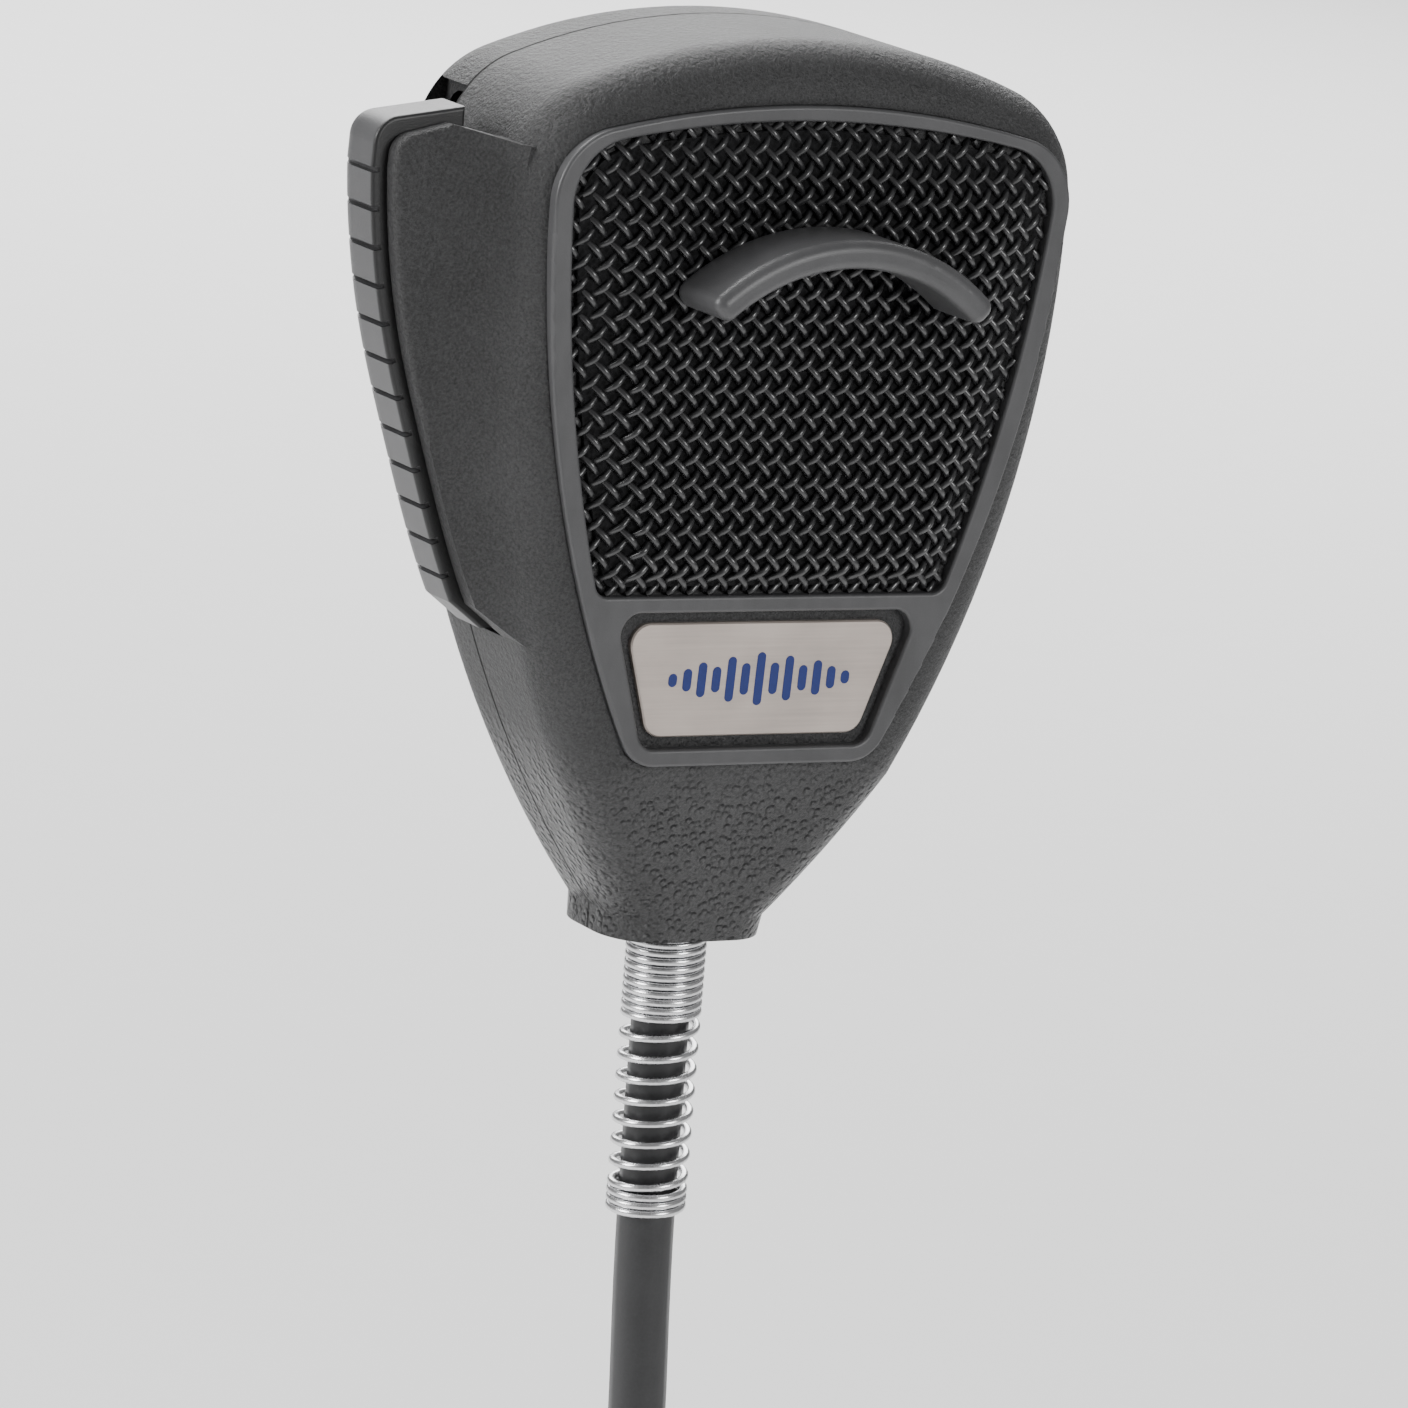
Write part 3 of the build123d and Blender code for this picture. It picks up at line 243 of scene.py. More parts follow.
class Finish:
    """One material, its shader's fixed values, and the method that adds a node to it."""

    def __init__(self, name, **fixed):
        self.material = bpy.data.materials.new(name)
        self.material.use_nodes = True
        self.tree = self.material.node_tree
        self.shader = self.tree.nodes["Principled BSDF"]
        for socket, value in fixed.items():
            self.shader.inputs[socket.replace("_", " ")].default_value = value
        self.place = self.add("ShaderNodeTexCoord", output="Object")

    def add(self, kind, settings=None, sockets=None, output=0):
        """Adds a node: its settings first, then the values or links of its sockets."""
        node = self.tree.nodes.new(kind)
        for name, value in (settings or {}).items():
            if name == "stops":
                for index, (position, level) in enumerate(value):
                    stop = node.color_ramp.elements[index]
                    stop.position = position
                    stop.color = (level, level, level, 1.0)
            else:
                setattr(node, name, value)
        for name, value in (sockets or {}).items():
            if isinstance(value, Flow):
                self.tree.links.new(value.socket, node.inputs[name])
            else:
                node.inputs[name].default_value = value
        return Flow(self, node.outputs[output])

    def sum(self, operation, first, second):
        return self.add("ShaderNodeMath", {"operation": operation}, {0: first, 1: second})

    def noise(self, size, detail=3.0, roughness=0.5, place=None, distortion=0.0):
        """Cloudy variation whose features are about this size in metres."""
        return self.add(
            "ShaderNodeTexNoise", None,
            {"Vector": place or self.place, "Scale": 1.0 / size, "Detail": detail, "Roughness": roughness,
             "Distortion": distortion},
        )

    def cells(self, size, smooth):
        """Rounded pebbles of about this size in metres."""
        return self.add(
            "ShaderNodeTexVoronoi", {"feature": "SMOOTH_F1"},
            {"Vector": self.place, "Scale": 1.0 / size, "Smoothness": smooth},
        )

    def ramp(self, value, *stops):
        return self.add("ShaderNodeValToRGB", {"stops": stops}, {"Fac": value})

    def mix(self, factor, first, second):
        return self.add("ShaderNodeMix", {"data_type": "RGBA"}, {0: factor, 6: first, 7: second}, output=2)

    def axis(self, name):
        """How far a place lies along one axis from the origin."""
        return self.add("ShaderNodeSeparateXYZ", None, {0: self.place}, output=name)

    def stretched(self, scale):
        return self.add("ShaderNodeMapping", None, {"Vector": self.place, "Scale": scale})

    def bump(self, height, depth, strength=1.0):
        return self.add("ShaderNodeBump", None, {"Height": height, "Distance": depth, "Strength": strength})

    def dress(self, **flows):
        for socket, flow in flows.items():
            self.tree.links.new(flow.socket, self.shader.inputs[socket.replace("_", " ")])
        return self.material


def shade(colour, factor):
    """A colour lighter or darker by a factor, opaque."""
    return (*(min(channel * factor, 1.0) for channel in colour[:3]), 1.0)


def grained_shell():
    """Black moulded plastic with a fine spark-eroded grain, coarser and glossier on the chin, with a painted
    shadow along the parting line.
    """
    finish = Finish("shell_plastic", Specular_IOR_Level=0.5)
    height = finish.axis("Z")
    depth = finish.axis("Y")
    chin = finish.ramp((height + 0.026) * -120.0, (0.0, 0.15), (0.8, 1.0))
    pebbles = finish.cells(0.80 * MM, 0.25)
    dust = finish.noise(0.26 * MM, 3.0, 0.65)
    cloud = finish.noise(9.0 * MM, 3.0, 0.5)
    crest = finish.ramp(1.0 - pebbles, (0.45, 0.0), (0.80, 1.0))
    relief = crest * chin * 1.6 + dust * 0.9
    seam = finish.sum("ABSOLUTE", depth - FOOT.y - (height - FOOT.z) * SEAM_SLOPE, 0.0)
    # The parting line: a bump groove, with its colour painted near black as the shadow inside the groove.
    seam_groove_and_painted_shade = finish.ramp(seam * 1000.0, (0.10, 1.0), (0.22, 0.0))
    tone = finish.ramp(dust * 0.8 + cloud * 0.2 + crest * chin * 0.10, (0.36, 0.0), (0.66, 1.0))
    base = colours().shell
    grained = finish.mix(tone, shade(base, 0.40), shade(base, 2.3))
    rough = finish.mix(chin, (0.56, 0.56, 0.56, 1.0), (0.30, 0.30, 0.30, 1.0))
    return finish.dress(
        Base_Color=finish.mix(seam_groove_and_painted_shade, grained, (0.001, 0.001, 0.001, 1.0)),
        Roughness=rough + (cloud - 0.5) * 0.10 + seam_groove_and_painted_shade * 0.3,
        Normal=finish.bump(relief - seam_groove_and_painted_shade, 0.24 * MM, 1.0),
    )


def satin_trim(name, base, roughness=0.42, grain=0.02, painted_shade_depth=None):
    """Smooth moulded plastic with a faint grain, handling marks and slightly rubbed patches.

    A painted shade depth is the depth in front of which the colour is painted near black as shade, as on the
    lever's recessed front face.
    """
    finish = Finish(name, Specular_IOR_Level=0.5)
    cloud = finish.noise(6.0 * MM, 4.0, 0.55)
    dust = finish.noise(0.14 * MM, 2.0, 0.6)
    rubs = finish.noise(1.4 * MM, 5.0, 0.62, finish.stretched((1.0, 1.0, 0.22)), 0.4)
    tone = finish.ramp(cloud * 0.55 + dust * 0.30 + rubs * 0.25, (0.35, 0.0), (0.75, 1.0))
    colour = finish.mix(tone, shade(base, 0.82), shade(base, 1.22))
    if painted_shade_depth is not None:
        # Painted shade: in front of that depth the colour is painted near black, standing in for the shadow on
        # the lever's recessed front face.
        front = finish.ramp((finish.axis("Y") - painted_shade_depth) * 1000.0, (0.0, 1.0), (0.35, 0.0))
        colour = finish.mix(front, colour, shade(base, 0.16))
    return finish.dress(
        Base_Color=colour,
        Roughness=rubs * 0.16 + cloud * 0.08 + (roughness - 0.12),
        Normal=finish.bump(dust + rubs * 0.4, grain * MM, 0.8),
    )


def coated_wire():
    """Black enamel on woven wire, its tone and coat varying in patches."""
    finish = Finish("wire_mesh", Specular_IOR_Level=0.6, Coat_Roughness=0.22)
    cloud = finish.noise(3.0 * MM, 3.0, 0.5)
    fleck = finish.noise(0.22 * MM, 3.0, 0.6)
    tone = finish.ramp(cloud * 0.5 + fleck * 0.5, (0.3, 0.0), (0.72, 1.0))
    base = colours().wire
    return finish.dress(
        Base_Color=finish.mix(tone, shade(base, 0.7), shade(base, 1.5)),
        Roughness=fleck * 0.22 + 0.24,
        Coat_Weight=finish.ramp(cloud, (0.3, 0.25), (0.7, 0.55)),
        Normal=finish.bump(fleck, 0.012 * MM, 0.7),
    )


def dark_foam():
    """Open-cell foam seen through the grille."""
    finish = Finish("foam", Specular_IOR_Level=0.15)
    cells = finish.cells(0.55 * MM, 0.2)
    fuzz = finish.noise(0.3 * MM, 3.0, 0.6)
    colour = finish.mix(cells, (0.003, 0.003, 0.003, 1.0), (0.014, 0.014, 0.015, 1.0))
    return finish.dress(
        Base_Color=colour, Roughness=fuzz * 0.1 + 0.88, Normal=finish.bump(cells + fuzz * 0.4, 0.3 * MM, 1.0),
    )


def brushed_plate():
    """Warm aluminium foil plate with a fine brushing along its width and a slight haze."""
    finish = Finish("plate", Metallic=0.75, Specular_IOR_Level=0.5)
    brushing = finish.noise(0.9 * MM, 5.0, 0.7, finish.stretched((0.08, 1.0, 4.0)))
    haze = finish.noise(7.0 * MM, 3.0, 0.5)
    base = colours().plate
    tone = finish.ramp(brushing * 0.5 + haze * 0.5, (0.3, 0.0), (0.7, 1.0))
    return finish.dress(
        Base_Color=finish.mix(tone, shade(base, 0.86), shade(base, 1.12)),
        Roughness=haze * 0.18 + brushing * 0.10 + 0.26,
        Normal=finish.bump(brushing, 0.01 * MM, 0.5),
    )


def plated(name, base, roughness):
    """Plated metal with fine polishing lines, faint tarnish and small scuffs."""
    finish = Finish(name, Metallic=1.0)
    tarnish = finish.noise(4.0 * MM, 4.0, 0.6)
    lines = finish.noise(0.35 * MM, 4.0, 0.65)
    tone = finish.ramp(tarnish * 0.5 + lines * 0.5, (0.3, 0.0), (0.75, 1.0))
    return finish.dress(
        Base_Color=finish.mix(tone, shade(base, 0.78), shade(base, 1.08)),
        Roughness=lines * 0.12 + tarnish * 0.12 + (roughness - 0.10),
        Normal=finish.bump(lines, 0.006 * MM, 0.6),
    )


def moulded(name, base, roughness):
    """A plain moulded material with its flow marks and fine surface texture."""
    finish = Finish(name, Specular_IOR_Level=0.45)
    marks = finish.noise(1.2 * MM, 4.0, 0.6)
    dust = finish.noise(0.18 * MM, 2.0, 0.5)
    tone = finish.ramp(marks * 0.7 + dust * 0.3, (0.3, 0.0), (0.7, 1.0))
    return finish.dress(
        Base_Color=finish.mix(tone, shade(base, 0.75), shade(base, 1.25)),
        Roughness=marks * 0.2 + (roughness - 0.1),
        Normal=finish.bump(marks * 0.4 + dust, 0.03 * MM, 0.7),
    )


def cord_jacket():
    """Black extruded jacket with a faint run of die lines, dust and a soft sheen."""
    finish = Finish("cord_jacket", Specular_IOR_Level=0.5)
    dust = finish.noise(0.30 * MM, 4.0, 0.65)
    bloom = finish.noise(5.0 * MM, 3.0, 0.5)
    lines = finish.noise(0.5 * MM, 3.0, 0.5, finish.stretched((1.0, 1.0, 0.06)))
    tone = finish.ramp(dust * 0.5 + bloom * 0.5, (0.35, 0.0), (0.75, 1.0))
    base = colours().cord
    return finish.dress(
        Base_Color=finish.mix(tone, shade(base, 0.75), shade(base, 1.6)),
        Roughness=bloom * 0.16 + dust * 0.12 + 0.30,
        Normal=finish.bump(dust * 0.6 + lines * 0.6, 0.02 * MM, 0.7),
    )


def strap_weave():
    """Woven hook-and-loop strap with a raised, matted loop face."""
    finish = Finish("strap", Specular_IOR_Level=0.2, Sheen_Weight=0.25, Sheen_Roughness=0.5)
    rows = finish.add(
        "ShaderNodeTexWave", {"wave_type": "BANDS", "bands_direction": "DIAGONAL"},
        {"Vector": finish.place, "Scale": 520.0, "Distortion": 2.0, "Detail": 2.0},
    )
    fuzz = finish.noise(0.35 * MM, 5.0, 0.7)
    tone = finish.ramp(rows * 0.4 + fuzz * 0.6, (0.3, 0.0), (0.7, 1.0))
    return finish.dress(
        Base_Color=finish.mix(tone, (0.010, 0.010, 0.011, 1.0), (0.055, 0.055, 0.058, 1.0)),
        Roughness=fuzz * 0.1 + 0.82,
        Normal=finish.bump(rows * 0.5 + fuzz, 0.18 * MM, 0.9),
    )


def printed_ink():
    """Blue printing ink, slightly thinner here and there."""
    finish = Finish("printed_symbol", Specular_IOR_Level=0.4)
    grain = finish.noise(0.25 * MM, 4.0, 0.6)
    base = colours().symbol
    return finish.dress(
        Base_Color=finish.mix(grain, shade(base, 0.8), shade(base, 1.35)),
        Roughness=grain * 0.15 + 0.38,
        Normal=finish.bump(grain, 0.008 * MM, 0.5),
    )


def pale_ground():
    """Matt pale studio paper."""
    finish = Finish("studio_paper", Specular_IOR_Level=0.1)
    fibre = finish.noise(0.02, 3.0, 0.5)
    return finish.dress(
        Base_Color=finish.mix(fibre, (0.86, 0.86, 0.86, 1.0), (0.88, 0.88, 0.88, 1.0)),
        Roughness=fibre * 0.05 + 0.9,
    )


# --- Sizes and colours that a user would change --------------------------------
class MicrophoneSizes(bpy.types.PropertyGroup):
    """Sizes of the pieces that this add-on models."""

    weave_pitch: bpy.props.FloatProperty(
        name="Weave Pitch", description="Distance between neighbouring grille wires",
        default=1.6 * MM, unit="LENGTH")
    grille_wire: bpy.props.FloatProperty(
        name="Grille Wire", description="Radius of the grille's wire",
        default=0.34 * MM, unit="LENGTH")
    spring_radius: bpy.props.FloatProperty(
        name="Spring Radius", description="Outer radius of the strain relief spring",
        default=4.0 * MM, unit="LENGTH")
    spring_wire: bpy.props.FloatProperty(
        name="Spring Wire", description="Radius of the spring's wire", default=0.4 * MM, unit="LENGTH")
    cord_radius: bpy.props.FloatProperty(
        name="Cord Radius", description="Radius of the cord's jacket", default=2.85 * MM, unit="LENGTH")
    curl_radius: bpy.props.FloatProperty(
        name="Curl Radius", description="Outer radius of the curled cord", default=9.2 * MM, unit="LENGTH")
    curl_pitch: bpy.props.FloatProperty(
        name="Curl Pitch", description="Distance between turns of the curled cord",
        default=6.3 * MM, unit="LENGTH")
    cord_length: bpy.props.FloatProperty(
        name="Cord Length", description="Length of the whole cord pulled straight",
        default=2.35, unit="LENGTH")


class MicrophoneColours(bpy.types.PropertyGroup):
    """Colours of the main finishes."""

    shell: bpy.props.FloatVectorProperty(
        name="Shell", description="Body plastic", default=(0.0175, 0.0175, 0.018), size=3, subtype="COLOR")
    trim: bpy.props.FloatVectorProperty(
        name="Trim", description="Grille surround and talk lever", default=(0.060, 0.060, 0.062), size=3,
        subtype="COLOR")
    wire: bpy.props.FloatVectorProperty(
        name="Grille", description="Coated grille wire", default=(0.016, 0.016, 0.017), size=3, subtype="COLOR")
    plate: bpy.props.FloatVectorProperty(
        name="Nameplate", description="Nameplate metal", default=(0.50, 0.44, 0.40), size=3, subtype="COLOR")
    symbol: bpy.props.FloatVectorProperty(
        name="Symbol", description="Printed symbol", default=(0.006, 0.018, 0.130), size=3, subtype="COLOR")
    cord: bpy.props.FloatVectorProperty(
        name="Cord", description="Cord jacket", default=(0.016, 0.016, 0.017), size=3, subtype="COLOR")


# --- Operators -----------------------------------------------------------------
class MICROPHONE_OT_stage(bpy.types.Operator):
    """Set the camera, the pale floor and the soft studio lights"""

    bl_idname = "microphone.stage"
    bl_label = "Stage and Camera"

    TURN = math.radians(33.0)
    TILT = math.radians(12.5)
    ROLL = math.radians(6.7)
    AIM = Vector((0.0013055, -0.0135, -0.0255554))
    DISTANCE = 0.715

    def execute(self, context):
        self.make_camera(context)
        self.make_floor(context)
        self.make_lights(context)
        return {"FINISHED"}

    def make_camera(self, context):
        forward = Vector((
            math.sin(self.TURN) * math.cos(self.TILT),
            math.cos(self.TURN) * math.cos(self.TILT),
            -math.sin(self.TILT),
        ))
        right = Vector((math.cos(self.TURN), -math.sin(self.TURN), 0.0))
        up = right.cross(forward)
        right_rolled = right * math.cos(self.ROLL) + up * math.sin(self.ROLL)
        up_rolled = up * math.cos(self.ROLL) - right * math.sin(self.ROLL)
        data = bpy.data.cameras.new("camera")
        data.sensor_width = 36.0
        data.lens = 189.2
        data.clip_start = 0.01
        camera = bpy.data.objects.new("camera", data)
        context.scene.collection.objects.link(camera)
        camera.matrix_world = Matrix.Translation(self.AIM - forward * self.DISTANCE) @ Matrix(
            (right_rolled, up_rolled, -forward)).transposed().to_4x4()
        context.scene.camera = camera

    def make_floor(self, context):
        lowest = CAD_BOX[0][2]
        deselect_all()
        bpy.ops.mesh.primitive_plane_add(size=9.0, location=(0.0, 0.0, lowest - 0.0005))
        floor = context.active_object
        floor.name = "floor"
        settle(floor)
        floor.data.materials.append(pale_ground())

    def make_lights(self, context):
        world = bpy.data.worlds.new("studio")
        world.use_nodes = True
        background = world.node_tree.nodes["Background"]
        background.inputs["Color"].default_value = (1.0, 1.0, 1.0, 1.0)
        background.inputs["Strength"].default_value = 0.30
        context.scene.world = world
        aim = on_body(0.0, 0.0, 40.0)
        far_floor = Vector((0.9, 1.5, CAD_BOX[0][2]))
        for name, target, offset, size, power in (
            ("left_softbox", aim, (-0.90, 0.20, 0.35), 0.40, 9.0),
            ("front_softbox", aim, (0.30, -0.95, 0.30), 0.40, 6.5),
            ("crown_softbox", aim, (-0.25, 0.45, 0.85), 0.40, 8.0),
            ("floor_wash", far_floor, (0.2, 0.6, 1.5), 2.2, 95.0),
        ):
            data = bpy.data.lights.new(name, "AREA")
            data.size = size
            data.energy = power
            lamp = bpy.data.objects.new(name, data)
            lamp.location = target + Vector(offset)
            lamp.rotation_euler = (-Vector(offset)).to_track_quat("-Z", "Y").to_euler()
            context.scene.collection.objects.link(lamp)


class MICROPHONE_OT_cord(bpy.types.Operator):
    """Lead, curl and plug tail, as one smooth cord"""

    bl_idname = "microphone.cord"
    bl_label = "Cord"

    # Points to each turn of the curl, and the turns over which it opens and closes.
    STEPS = 12
    RAMP = 2.4
    # The strap: the room that its free end takes in front, its wall and its width.
    TAB_ROOM = 1.9 * MM
    STRAP_WALL = 1.3 * MM
    STRAP_WIDTH = 9.0 * MM
    # The free end: its length, how far it lies to the side, its gap to the strap, its wall and its lift.
    TAB_LENGTH = 24.0 * MM
    TAB_SHIFT = 4.0 * MM
    TAB_GAP = 0.55 * MM
    TAB_WALL = 0.9 * MM
    TAB_LIFT = 0.5 * MM

    def execute(self, context):
        size = sizes()
        winding = wound(
            read_line(CURL_ROUTE), size.curl_radius - size.cord_radius, size.curl_pitch, self.STEPS, self.RAMP)
        points = [*LEAD_ROUTE[:-1], *winding, *TAIL_ROUTE[1:]]
        cord = smooth_line(points, "cord")
        cord.data.bevel_depth = size.cord_radius
        cord.data.bevel_resolution = 4
        cord.data.use_fill_caps = True
        cord.data.splines[0].resolution_u = 5
        cord.data.materials.append(cord_jacket())
        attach(cord, "microphone")
        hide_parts("cord_lead", "cord_curl", "cord_tail")
        strap = self.make_strap(context)
        return {"FINISHED"}

    def make_strap(self, context):
        """A flat strap round both runs of the curl, its free end pressed down over its start."""
        low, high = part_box("cord_tie")
        face = low.y + self.TAB_ROOM
        middle = Vector(((low.x + high.x) / 2.0, (face + high.y) / 2.0, (low.z + high.z) / 2.0))
        outer = (high.y - face) / 2.0
        reach = (high.x - low.x) / 2.0 - outer
        deselect_all()
        bpy.ops.mesh.primitive_circle_add(
            vertices=72, radius=outer - self.STRAP_WALL / 2.0,
            location=(middle.x, middle.y, middle.z - self.STRAP_WIDTH / 2.0))
        strap = context.active_object
        strap.name = "cord_strap"
        bpy.ops.object.mode_set(mode="EDIT")
        bpy.ops.mesh.extrude_region_move(TRANSFORM_OT_translate={"value": (0.0, 0.0, self.STRAP_WIDTH)})
        bpy.ops.object.mode_set(mode="OBJECT")
        for vertex in strap.data.vertices:
            if abs(vertex.co.x) > 1e-6:
                vertex.co.x += math.copysign(reach, vertex.co.x)
        settle(strap)
        for name, kind, values in (
            ("wall", "SOLIDIFY", {"thickness": self.STRAP_WALL, "offset": 0.0}),
            ("edges", "BEVEL", {"width": 0.35 * MM, "segments": 2, "angle_limit": math.radians(50.0)}),
        ):
            self.modify(context, strap, name, kind, values)
        end = self.make_strap_end(context, middle, face)
        end.parent = strap
        for piece in (strap, end):
            piece.data.materials.append(strap_weave())
        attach(strap, "microphone")
        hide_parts("cord_tie")
        return strap

    def make_strap_end(self, context, middle, face):
        """The strap's free end: a rounded tab on the front, lifted slightly at its tip."""
        centre = middle.x + self.TAB_SHIFT
        deselect_all()
        bpy.ops.mesh.primitive_grid_add(
            x_subdivisions=24, y_subdivisions=8, size=1.0, location=(centre, face - self.TAB_GAP, middle.z))
        tab = context.active_object
        tab.name = "cord_strap_end"
        tab.scale = (self.TAB_LENGTH, self.STRAP_WIDTH, 1.0)
        tab.rotation_euler = (math.radians(90.0), 0.0, 0.0)
        settle(tab)
        for vertex in tab.data.vertices:
            along = (vertex.co.x - centre) / (self.TAB_LENGTH / 2.0)
            tip = max(0.0, along - 0.6) / 0.4
            narrowing = math.sqrt(max(0.0, 1.0 - 0.75 * tip * tip))
            vertex.co.z = middle.z + (vertex.co.z - middle.z) * narrowing
            vertex.co.y -= self.TAB_LIFT * tip * tip
        self.modify(context, tab, "wall", "SOLIDIFY", {"thickness": self.TAB_WALL, "offset": 0.0})
        self.modify(context, tab, "edges", "BEVEL",
                    {"width": 0.25 * MM, "segments": 2, "angle_limit": math.radians(50.0)})
        return tab

    @staticmethod
    def modify(context, piece, name, kind, values):
        select_only(piece)
        modifier = piece.modifiers.new(name, kind)
        for key, value in values.items():
            setattr(modifier, key, value)
        bpy.ops.object.modifier_apply(modifier=name)
        bpy.ops.object.shade_smooth_by_angle(angle=math.radians(40.0))
        deselect_all()


class MICROPHONE_OT_spring(bpy.types.Operator):
    """The strain relief's wire spring, close at both ends and open between them"""

    bl_idname = "microphone.spring"
    bl_label = "Strain Relief Spring"

    # Turns and pitch in millimetres of each stretch, from the bottom up.
    STRETCHES = ((3.5, 0.83), (8.0, 2.17), (20.0, 0.83))
    TOP = 10.6
    LEAN = 2.4
    LEAN_HEIGHT = 5.0
    STEPS = 28

    def execute(self, context):
        size = sizes()
        radius = size.spring_radius - size.spring_wire
        pivot = on_body(0.0, 0.0, self.LEAN_HEIGHT)
        drop = sum(turns * pitch for turns, pitch in self.STRETCHES) + 2.0 * size.spring_wire / MM
        height = self.TOP - drop + size.spring_wire / MM
        run = []
        total = 0.0
        for turns, pitch in self.STRETCHES:
            count = round(turns * self.STEPS)
            for step in range(count):
                angle = math.tau * (total + step / self.STEPS)
                place = on_body(0.0, 0.0, height + pitch * step / self.STEPS)
                place += Vector((math.cos(angle), math.sin(angle), 0.0)) * radius
                run.append(leaned(place, self.LEAN, pivot))
            total += turns
            height += turns * pitch
        spring = wire("strain_relief_spring", [run], size.spring_wire, 3)
        spring.data.materials.append(plated("spring_steel", (0.74, 0.74, 0.75), 0.24))
        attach(spring, "microphone")
        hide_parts("relief_spring")
        return {"FINISHED"}


class MICROPHONE_OT_grille(bpy.types.Operator):
    """The woven wire grille, two families of crimped wires over and under each other"""

    bl_idname = "microphone.grille"
    bl_label = "Woven Grille"

    # Points to each crossing, how far the wires reach from the middle,
    # and how far aside a missed ray is cast again.
    SAMPLES = 8
    REACH = 42.0 * MM
    NUDGE = 0.03 * MM
    # The crimp's height and the wires' depth in the form, as shares of the wire's radius.
    CRIMP = 0.95
    SINK = 1.6

    def execute(self, context):
        size = sizes()
        finish = coated_wire()
        ground = NODES["grille_mesh"]
        mesh = ground.data
        tree = BVHTree.FromPolygons(
            [vertex.co.copy() for vertex in mesh.vertices], [list(face.vertices) for face in mesh.polygons])
        low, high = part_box("grille_mesh")
        self.middle = (low + high) / 2.0
        for name, lean, lift in (("grille_warp", 1.0, 1.0), ("grille_weft", -1.0, -1.0)):
            runs = self.crimped_wires(tree, size, lean, lift, low.y - 0.01)
            piece = wire(name, runs, size.grille_wire, 1)
            piece.data.materials.append(finish)
            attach(piece, "microphone")
            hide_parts("grille_mesh")
        return {"FINISHED"}

    @classmethod
    def form_under(cls, tree, x, start, z):
        """The place on the grille's form behind a point, cast again beside it if the ray slips between faces."""
        for nudge in (0.0, cls.NUDGE, -cls.NUDGE):
            hit = tree.ray_cast(Vector((x + nudge, start, z + 0.7 * nudge)), Vector((0.0, 1.0, 0.0)))[0]
            if hit is not None:
                return hit
        return None

    def crimped_wires(self, tree, size, lean, lift, start):
        """Each wire's points: diagonal across the grille, resting on its form, crimped at every crossing."""
        pitch = size.weave_pitch
        crimp = size.grille_wire * self.CRIMP
        count = int(self.REACH / pitch)
        diagonal = math.sqrt(0.5)
        runs = []
        for row in range(-count, count + 1):
            run = []
            for step in range(-count * self.SAMPLES, count * self.SAMPLES + 1):
                along = step * pitch / self.SAMPLES
                across = row * pitch
                x = self.middle.x + (along * lean - across) * diagonal
                z = self.middle.z + (along + across * lean) * diagonal
                hit = self.form_under(tree, x, start, z)
                if hit is None:
                    continue
                wave = crimp * lift * math.cos(math.pi * (step / self.SAMPLES + row))
                run.append(Vector((x, hit.y + size.grille_wire * self.SINK - wave, z)))
            if len(run) > self.SAMPLES // 2:
                runs.append(run)
        return runs


class MICROPHONE_OT_symbol(bpy.types.Operator):
    """A plain sound-level symbol printed on the nameplate"""

    bl_idname = "microphone.symbol"
    bl_label = "Nameplate Symbol"

    HEIGHTS = (1.3, 2.2, 3.4, 2.5, 4.4, 3.1, 5.2, 3.1, 4.4, 2.5, 3.4, 2.2, 1.3)
    BAR_WIDTH = 0.95
    BAR_PITCH = 1.62
    INK = 0.03

    def execute(self, context):
        low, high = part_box("nameplate")
        middle_x, middle_z = (low.x + high.x) / 2.0, (low.z + high.z) / 2.0
        finish = printed_ink()
        bars = []
        for index, height in enumerate(self.HEIGHTS):
            offset = (index - (len(self.HEIGHTS) - 1) / 2.0) * self.BAR_PITCH * MM
            bars.append(self.make_bar(context, middle_x + offset, low.y, middle_z, height * MM))
        deselect_all()
        for bar in bars:
            bar.select_set(True)
        context.view_layer.objects.active = bars[0]
        bpy.ops.object.join()
        symbol = context.active_object
        symbol.name = "nameplate_symbol"
        symbol.data.materials.append(finish)
        deselect_all()
        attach(symbol, "microphone")
        return {"FINISHED"}

    def make_bar(self, context, x, face, z, height):
        """One round-ended bar, a little proud of the plate."""
        deselect_all()
        radius = self.BAR_WIDTH * MM / 2.0
        depth = self.INK * MM
        bpy.ops.mesh.primitive_cylinder_add(
            vertices=32, radius=radius, depth=2.0 * depth, location=(x, face, z),
            rotation=(math.radians(90.0), 0.0, 0.0))
        bar = settle(context.active_object)
        for vertex in bar.data.vertices:
            if abs(vertex.co.z - z) > radius * 0.02:
                vertex.co.z += math.copysign(height / 2.0 - radius, vertex.co.z - z)
        return bar


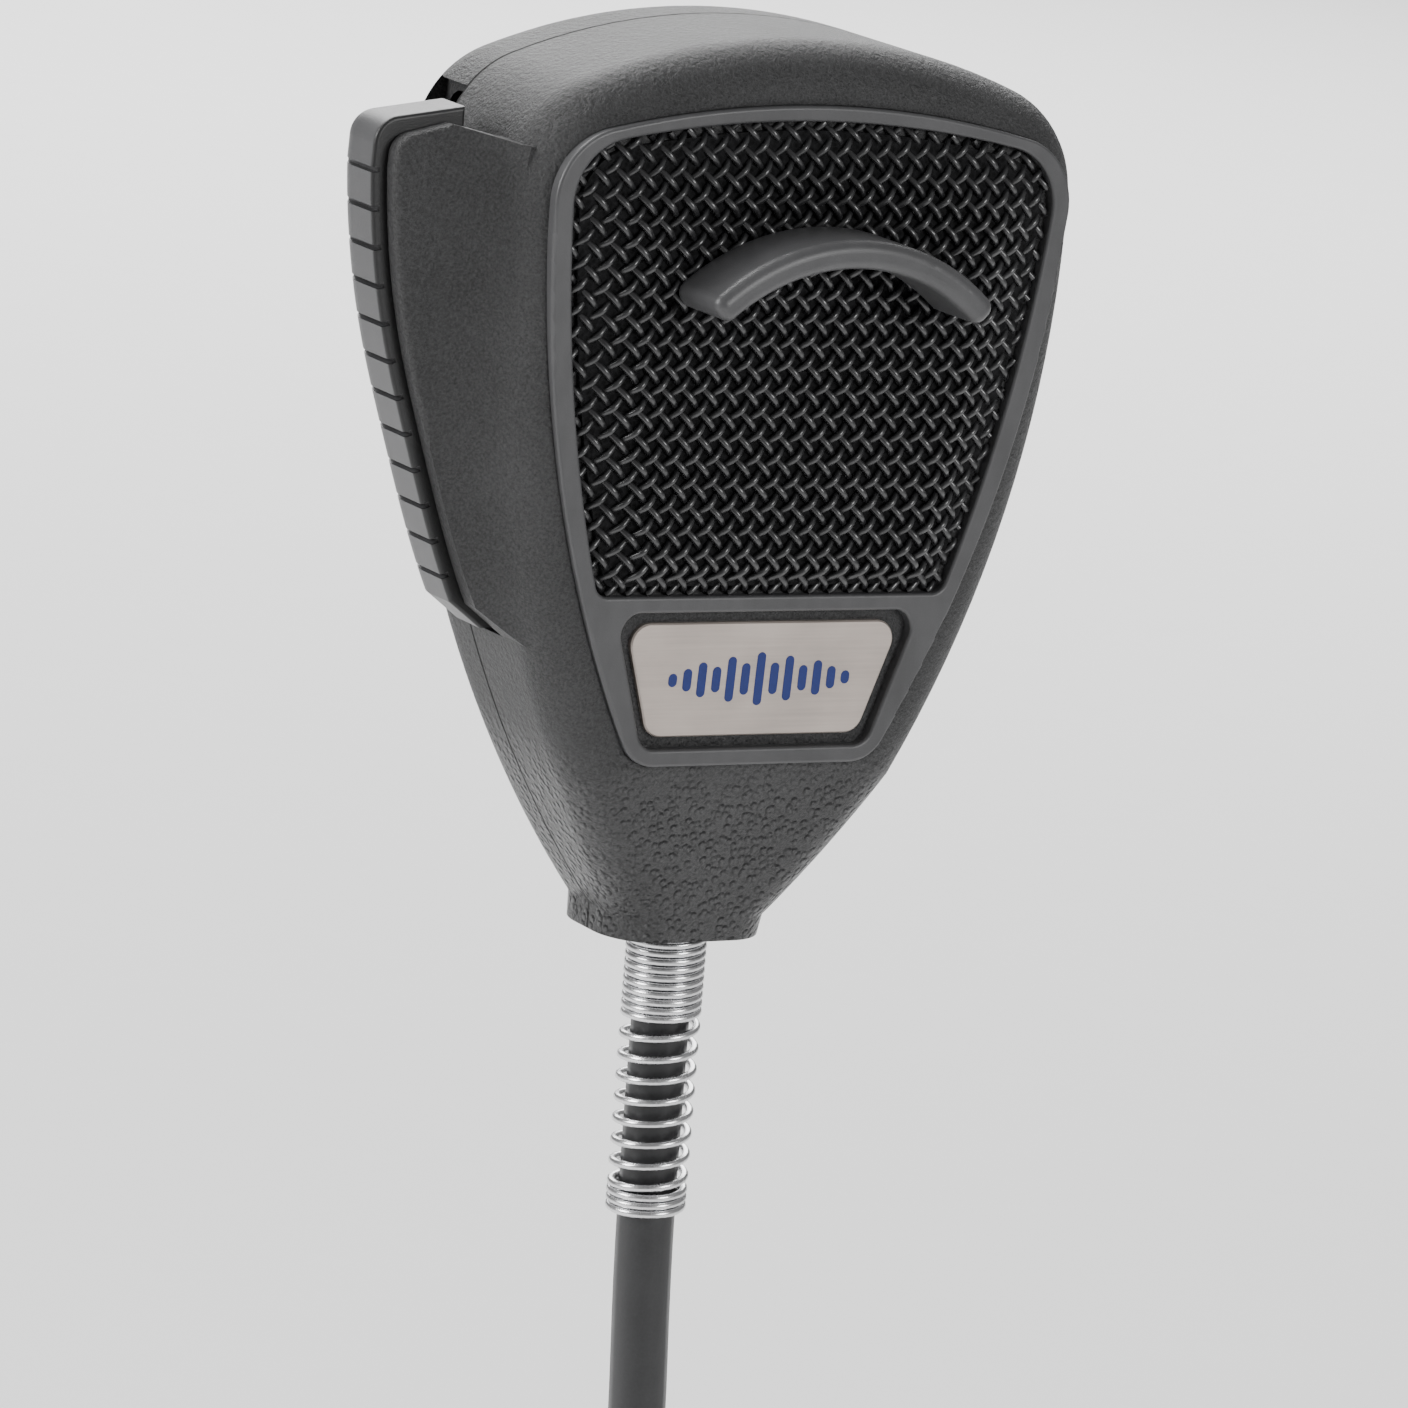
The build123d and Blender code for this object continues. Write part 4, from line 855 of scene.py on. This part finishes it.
class MICROPHONE_OT_finishes(bpy.types.Operator):
    """Give every carried-over part its finish"""

    bl_idname = "microphone.finishes"
    bl_label = "Finishes"

    def execute(self, context):
        shell = grained_shell()
        trim = satin_trim("trim_plastic", colours().trim, 0.40)
        steel = plated("steel", (0.70, 0.70, 0.71), 0.28)
        brass = plated("brass", (0.72, 0.55, 0.27), 0.30)
        chrome = plated("chrome", (0.80, 0.80, 0.82), 0.16)
        black = moulded("switch_plastic", (0.035, 0.035, 0.038), 0.42)
        # The depth just behind the lever's front face, in front of which its colour is painted near black as
        # shade.
        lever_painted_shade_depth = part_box("ptt_lever")[0].y + 0.2 * MM
        finishes = {
            "front_housing": shell, "rear_cover": shell,
            "grille_bezel": trim, "lip_guard": trim,
            "ptt_lever": satin_trim("lever_plastic", colours().trim, 0.42, 0.03, lever_painted_shade_depth),
            "grille_mesh": steel, "grille_foam": dark_foam(), "nameplate": brushed_plate(),
            "switch_case": black, "switch_cover": black, "plug_insert": black,
            "switch_plunger": moulded("plunger", (0.50, 0.07, 0.05), 0.35),
            "switch_blade": brass, "switch_terminals": brass, "terminal_lugs": brass, "plug_contacts": brass,
            "voice_coil": plated("copper", (0.72, 0.36, 0.20), 0.35),
            "diaphragm": moulded("film", (0.70, 0.62, 0.45), 0.25),
            "magnet": moulded("magnet", (0.16, 0.16, 0.17), 0.5),
            "terminal_board": moulded("board", (0.36, 0.23, 0.10), 0.5),
            "conductors": moulded("insulation", (0.50, 0.06, 0.05), 0.4),
            "cartridge_boot": moulded("rubber", (0.025, 0.025, 0.025), 0.7),
            "plug_shell": chrome, "coupling_ring": chrome,
        }
        for name, node in NODES.items():
            self.give(node, finishes.get(name, steel))
        return {"FINISHED"}

    @staticmethod
    def give(node, finish):
        if not node.material_slots:
            node.data.materials.append(finish)
        for place in node.material_slots:
            place.material = finish


class MICROPHONE_PT_panel(bpy.types.Panel):
    """Lists the microphone's operators and sizes"""

    bl_label = "Hand Microphone"
    bl_idname = "MICROPHONE_PT_panel"
    bl_space_type = "VIEW_3D"
    bl_region_type = "UI"
    bl_category = "Microphone"

    def draw(self, context):
        layout = self.layout
        for operator in OPERATORS:
            layout.operator(operator.bl_idname)
        for group in (context.scene.microphone_sizes, context.scene.microphone_colours):
            for name in group.__annotations__:
                layout.prop(group, name)


OPERATORS = (
    MICROPHONE_OT_stage, MICROPHONE_OT_cord, MICROPHONE_OT_spring, MICROPHONE_OT_grille, MICROPHONE_OT_symbol,
    MICROPHONE_OT_finishes,
)
CLASSES = (MicrophoneSizes, MicrophoneColours, *OPERATORS, MICROPHONE_PT_panel)


def register():
    for each in CLASSES:
        bpy.utils.register_class(each)
    bpy.types.Scene.microphone_sizes = bpy.props.PointerProperty(type=MicrophoneSizes)
    bpy.types.Scene.microphone_colours = bpy.props.PointerProperty(type=MicrophoneColours)


def unregister():
    del bpy.types.Scene.microphone_colours
    del bpy.types.Scene.microphone_sizes
    for each in reversed(CLASSES):
        bpy.utils.unregister_class(each)


def main():
    register()
    deselect_all()
    bpy.ops.microphone.stage()
    bpy.ops.microphone.cord()
    bpy.ops.microphone.spring()
    bpy.ops.microphone.grille()
    bpy.ops.microphone.symbol()
    bpy.ops.microphone.finishes()


if __name__ == "__main__":
    main()
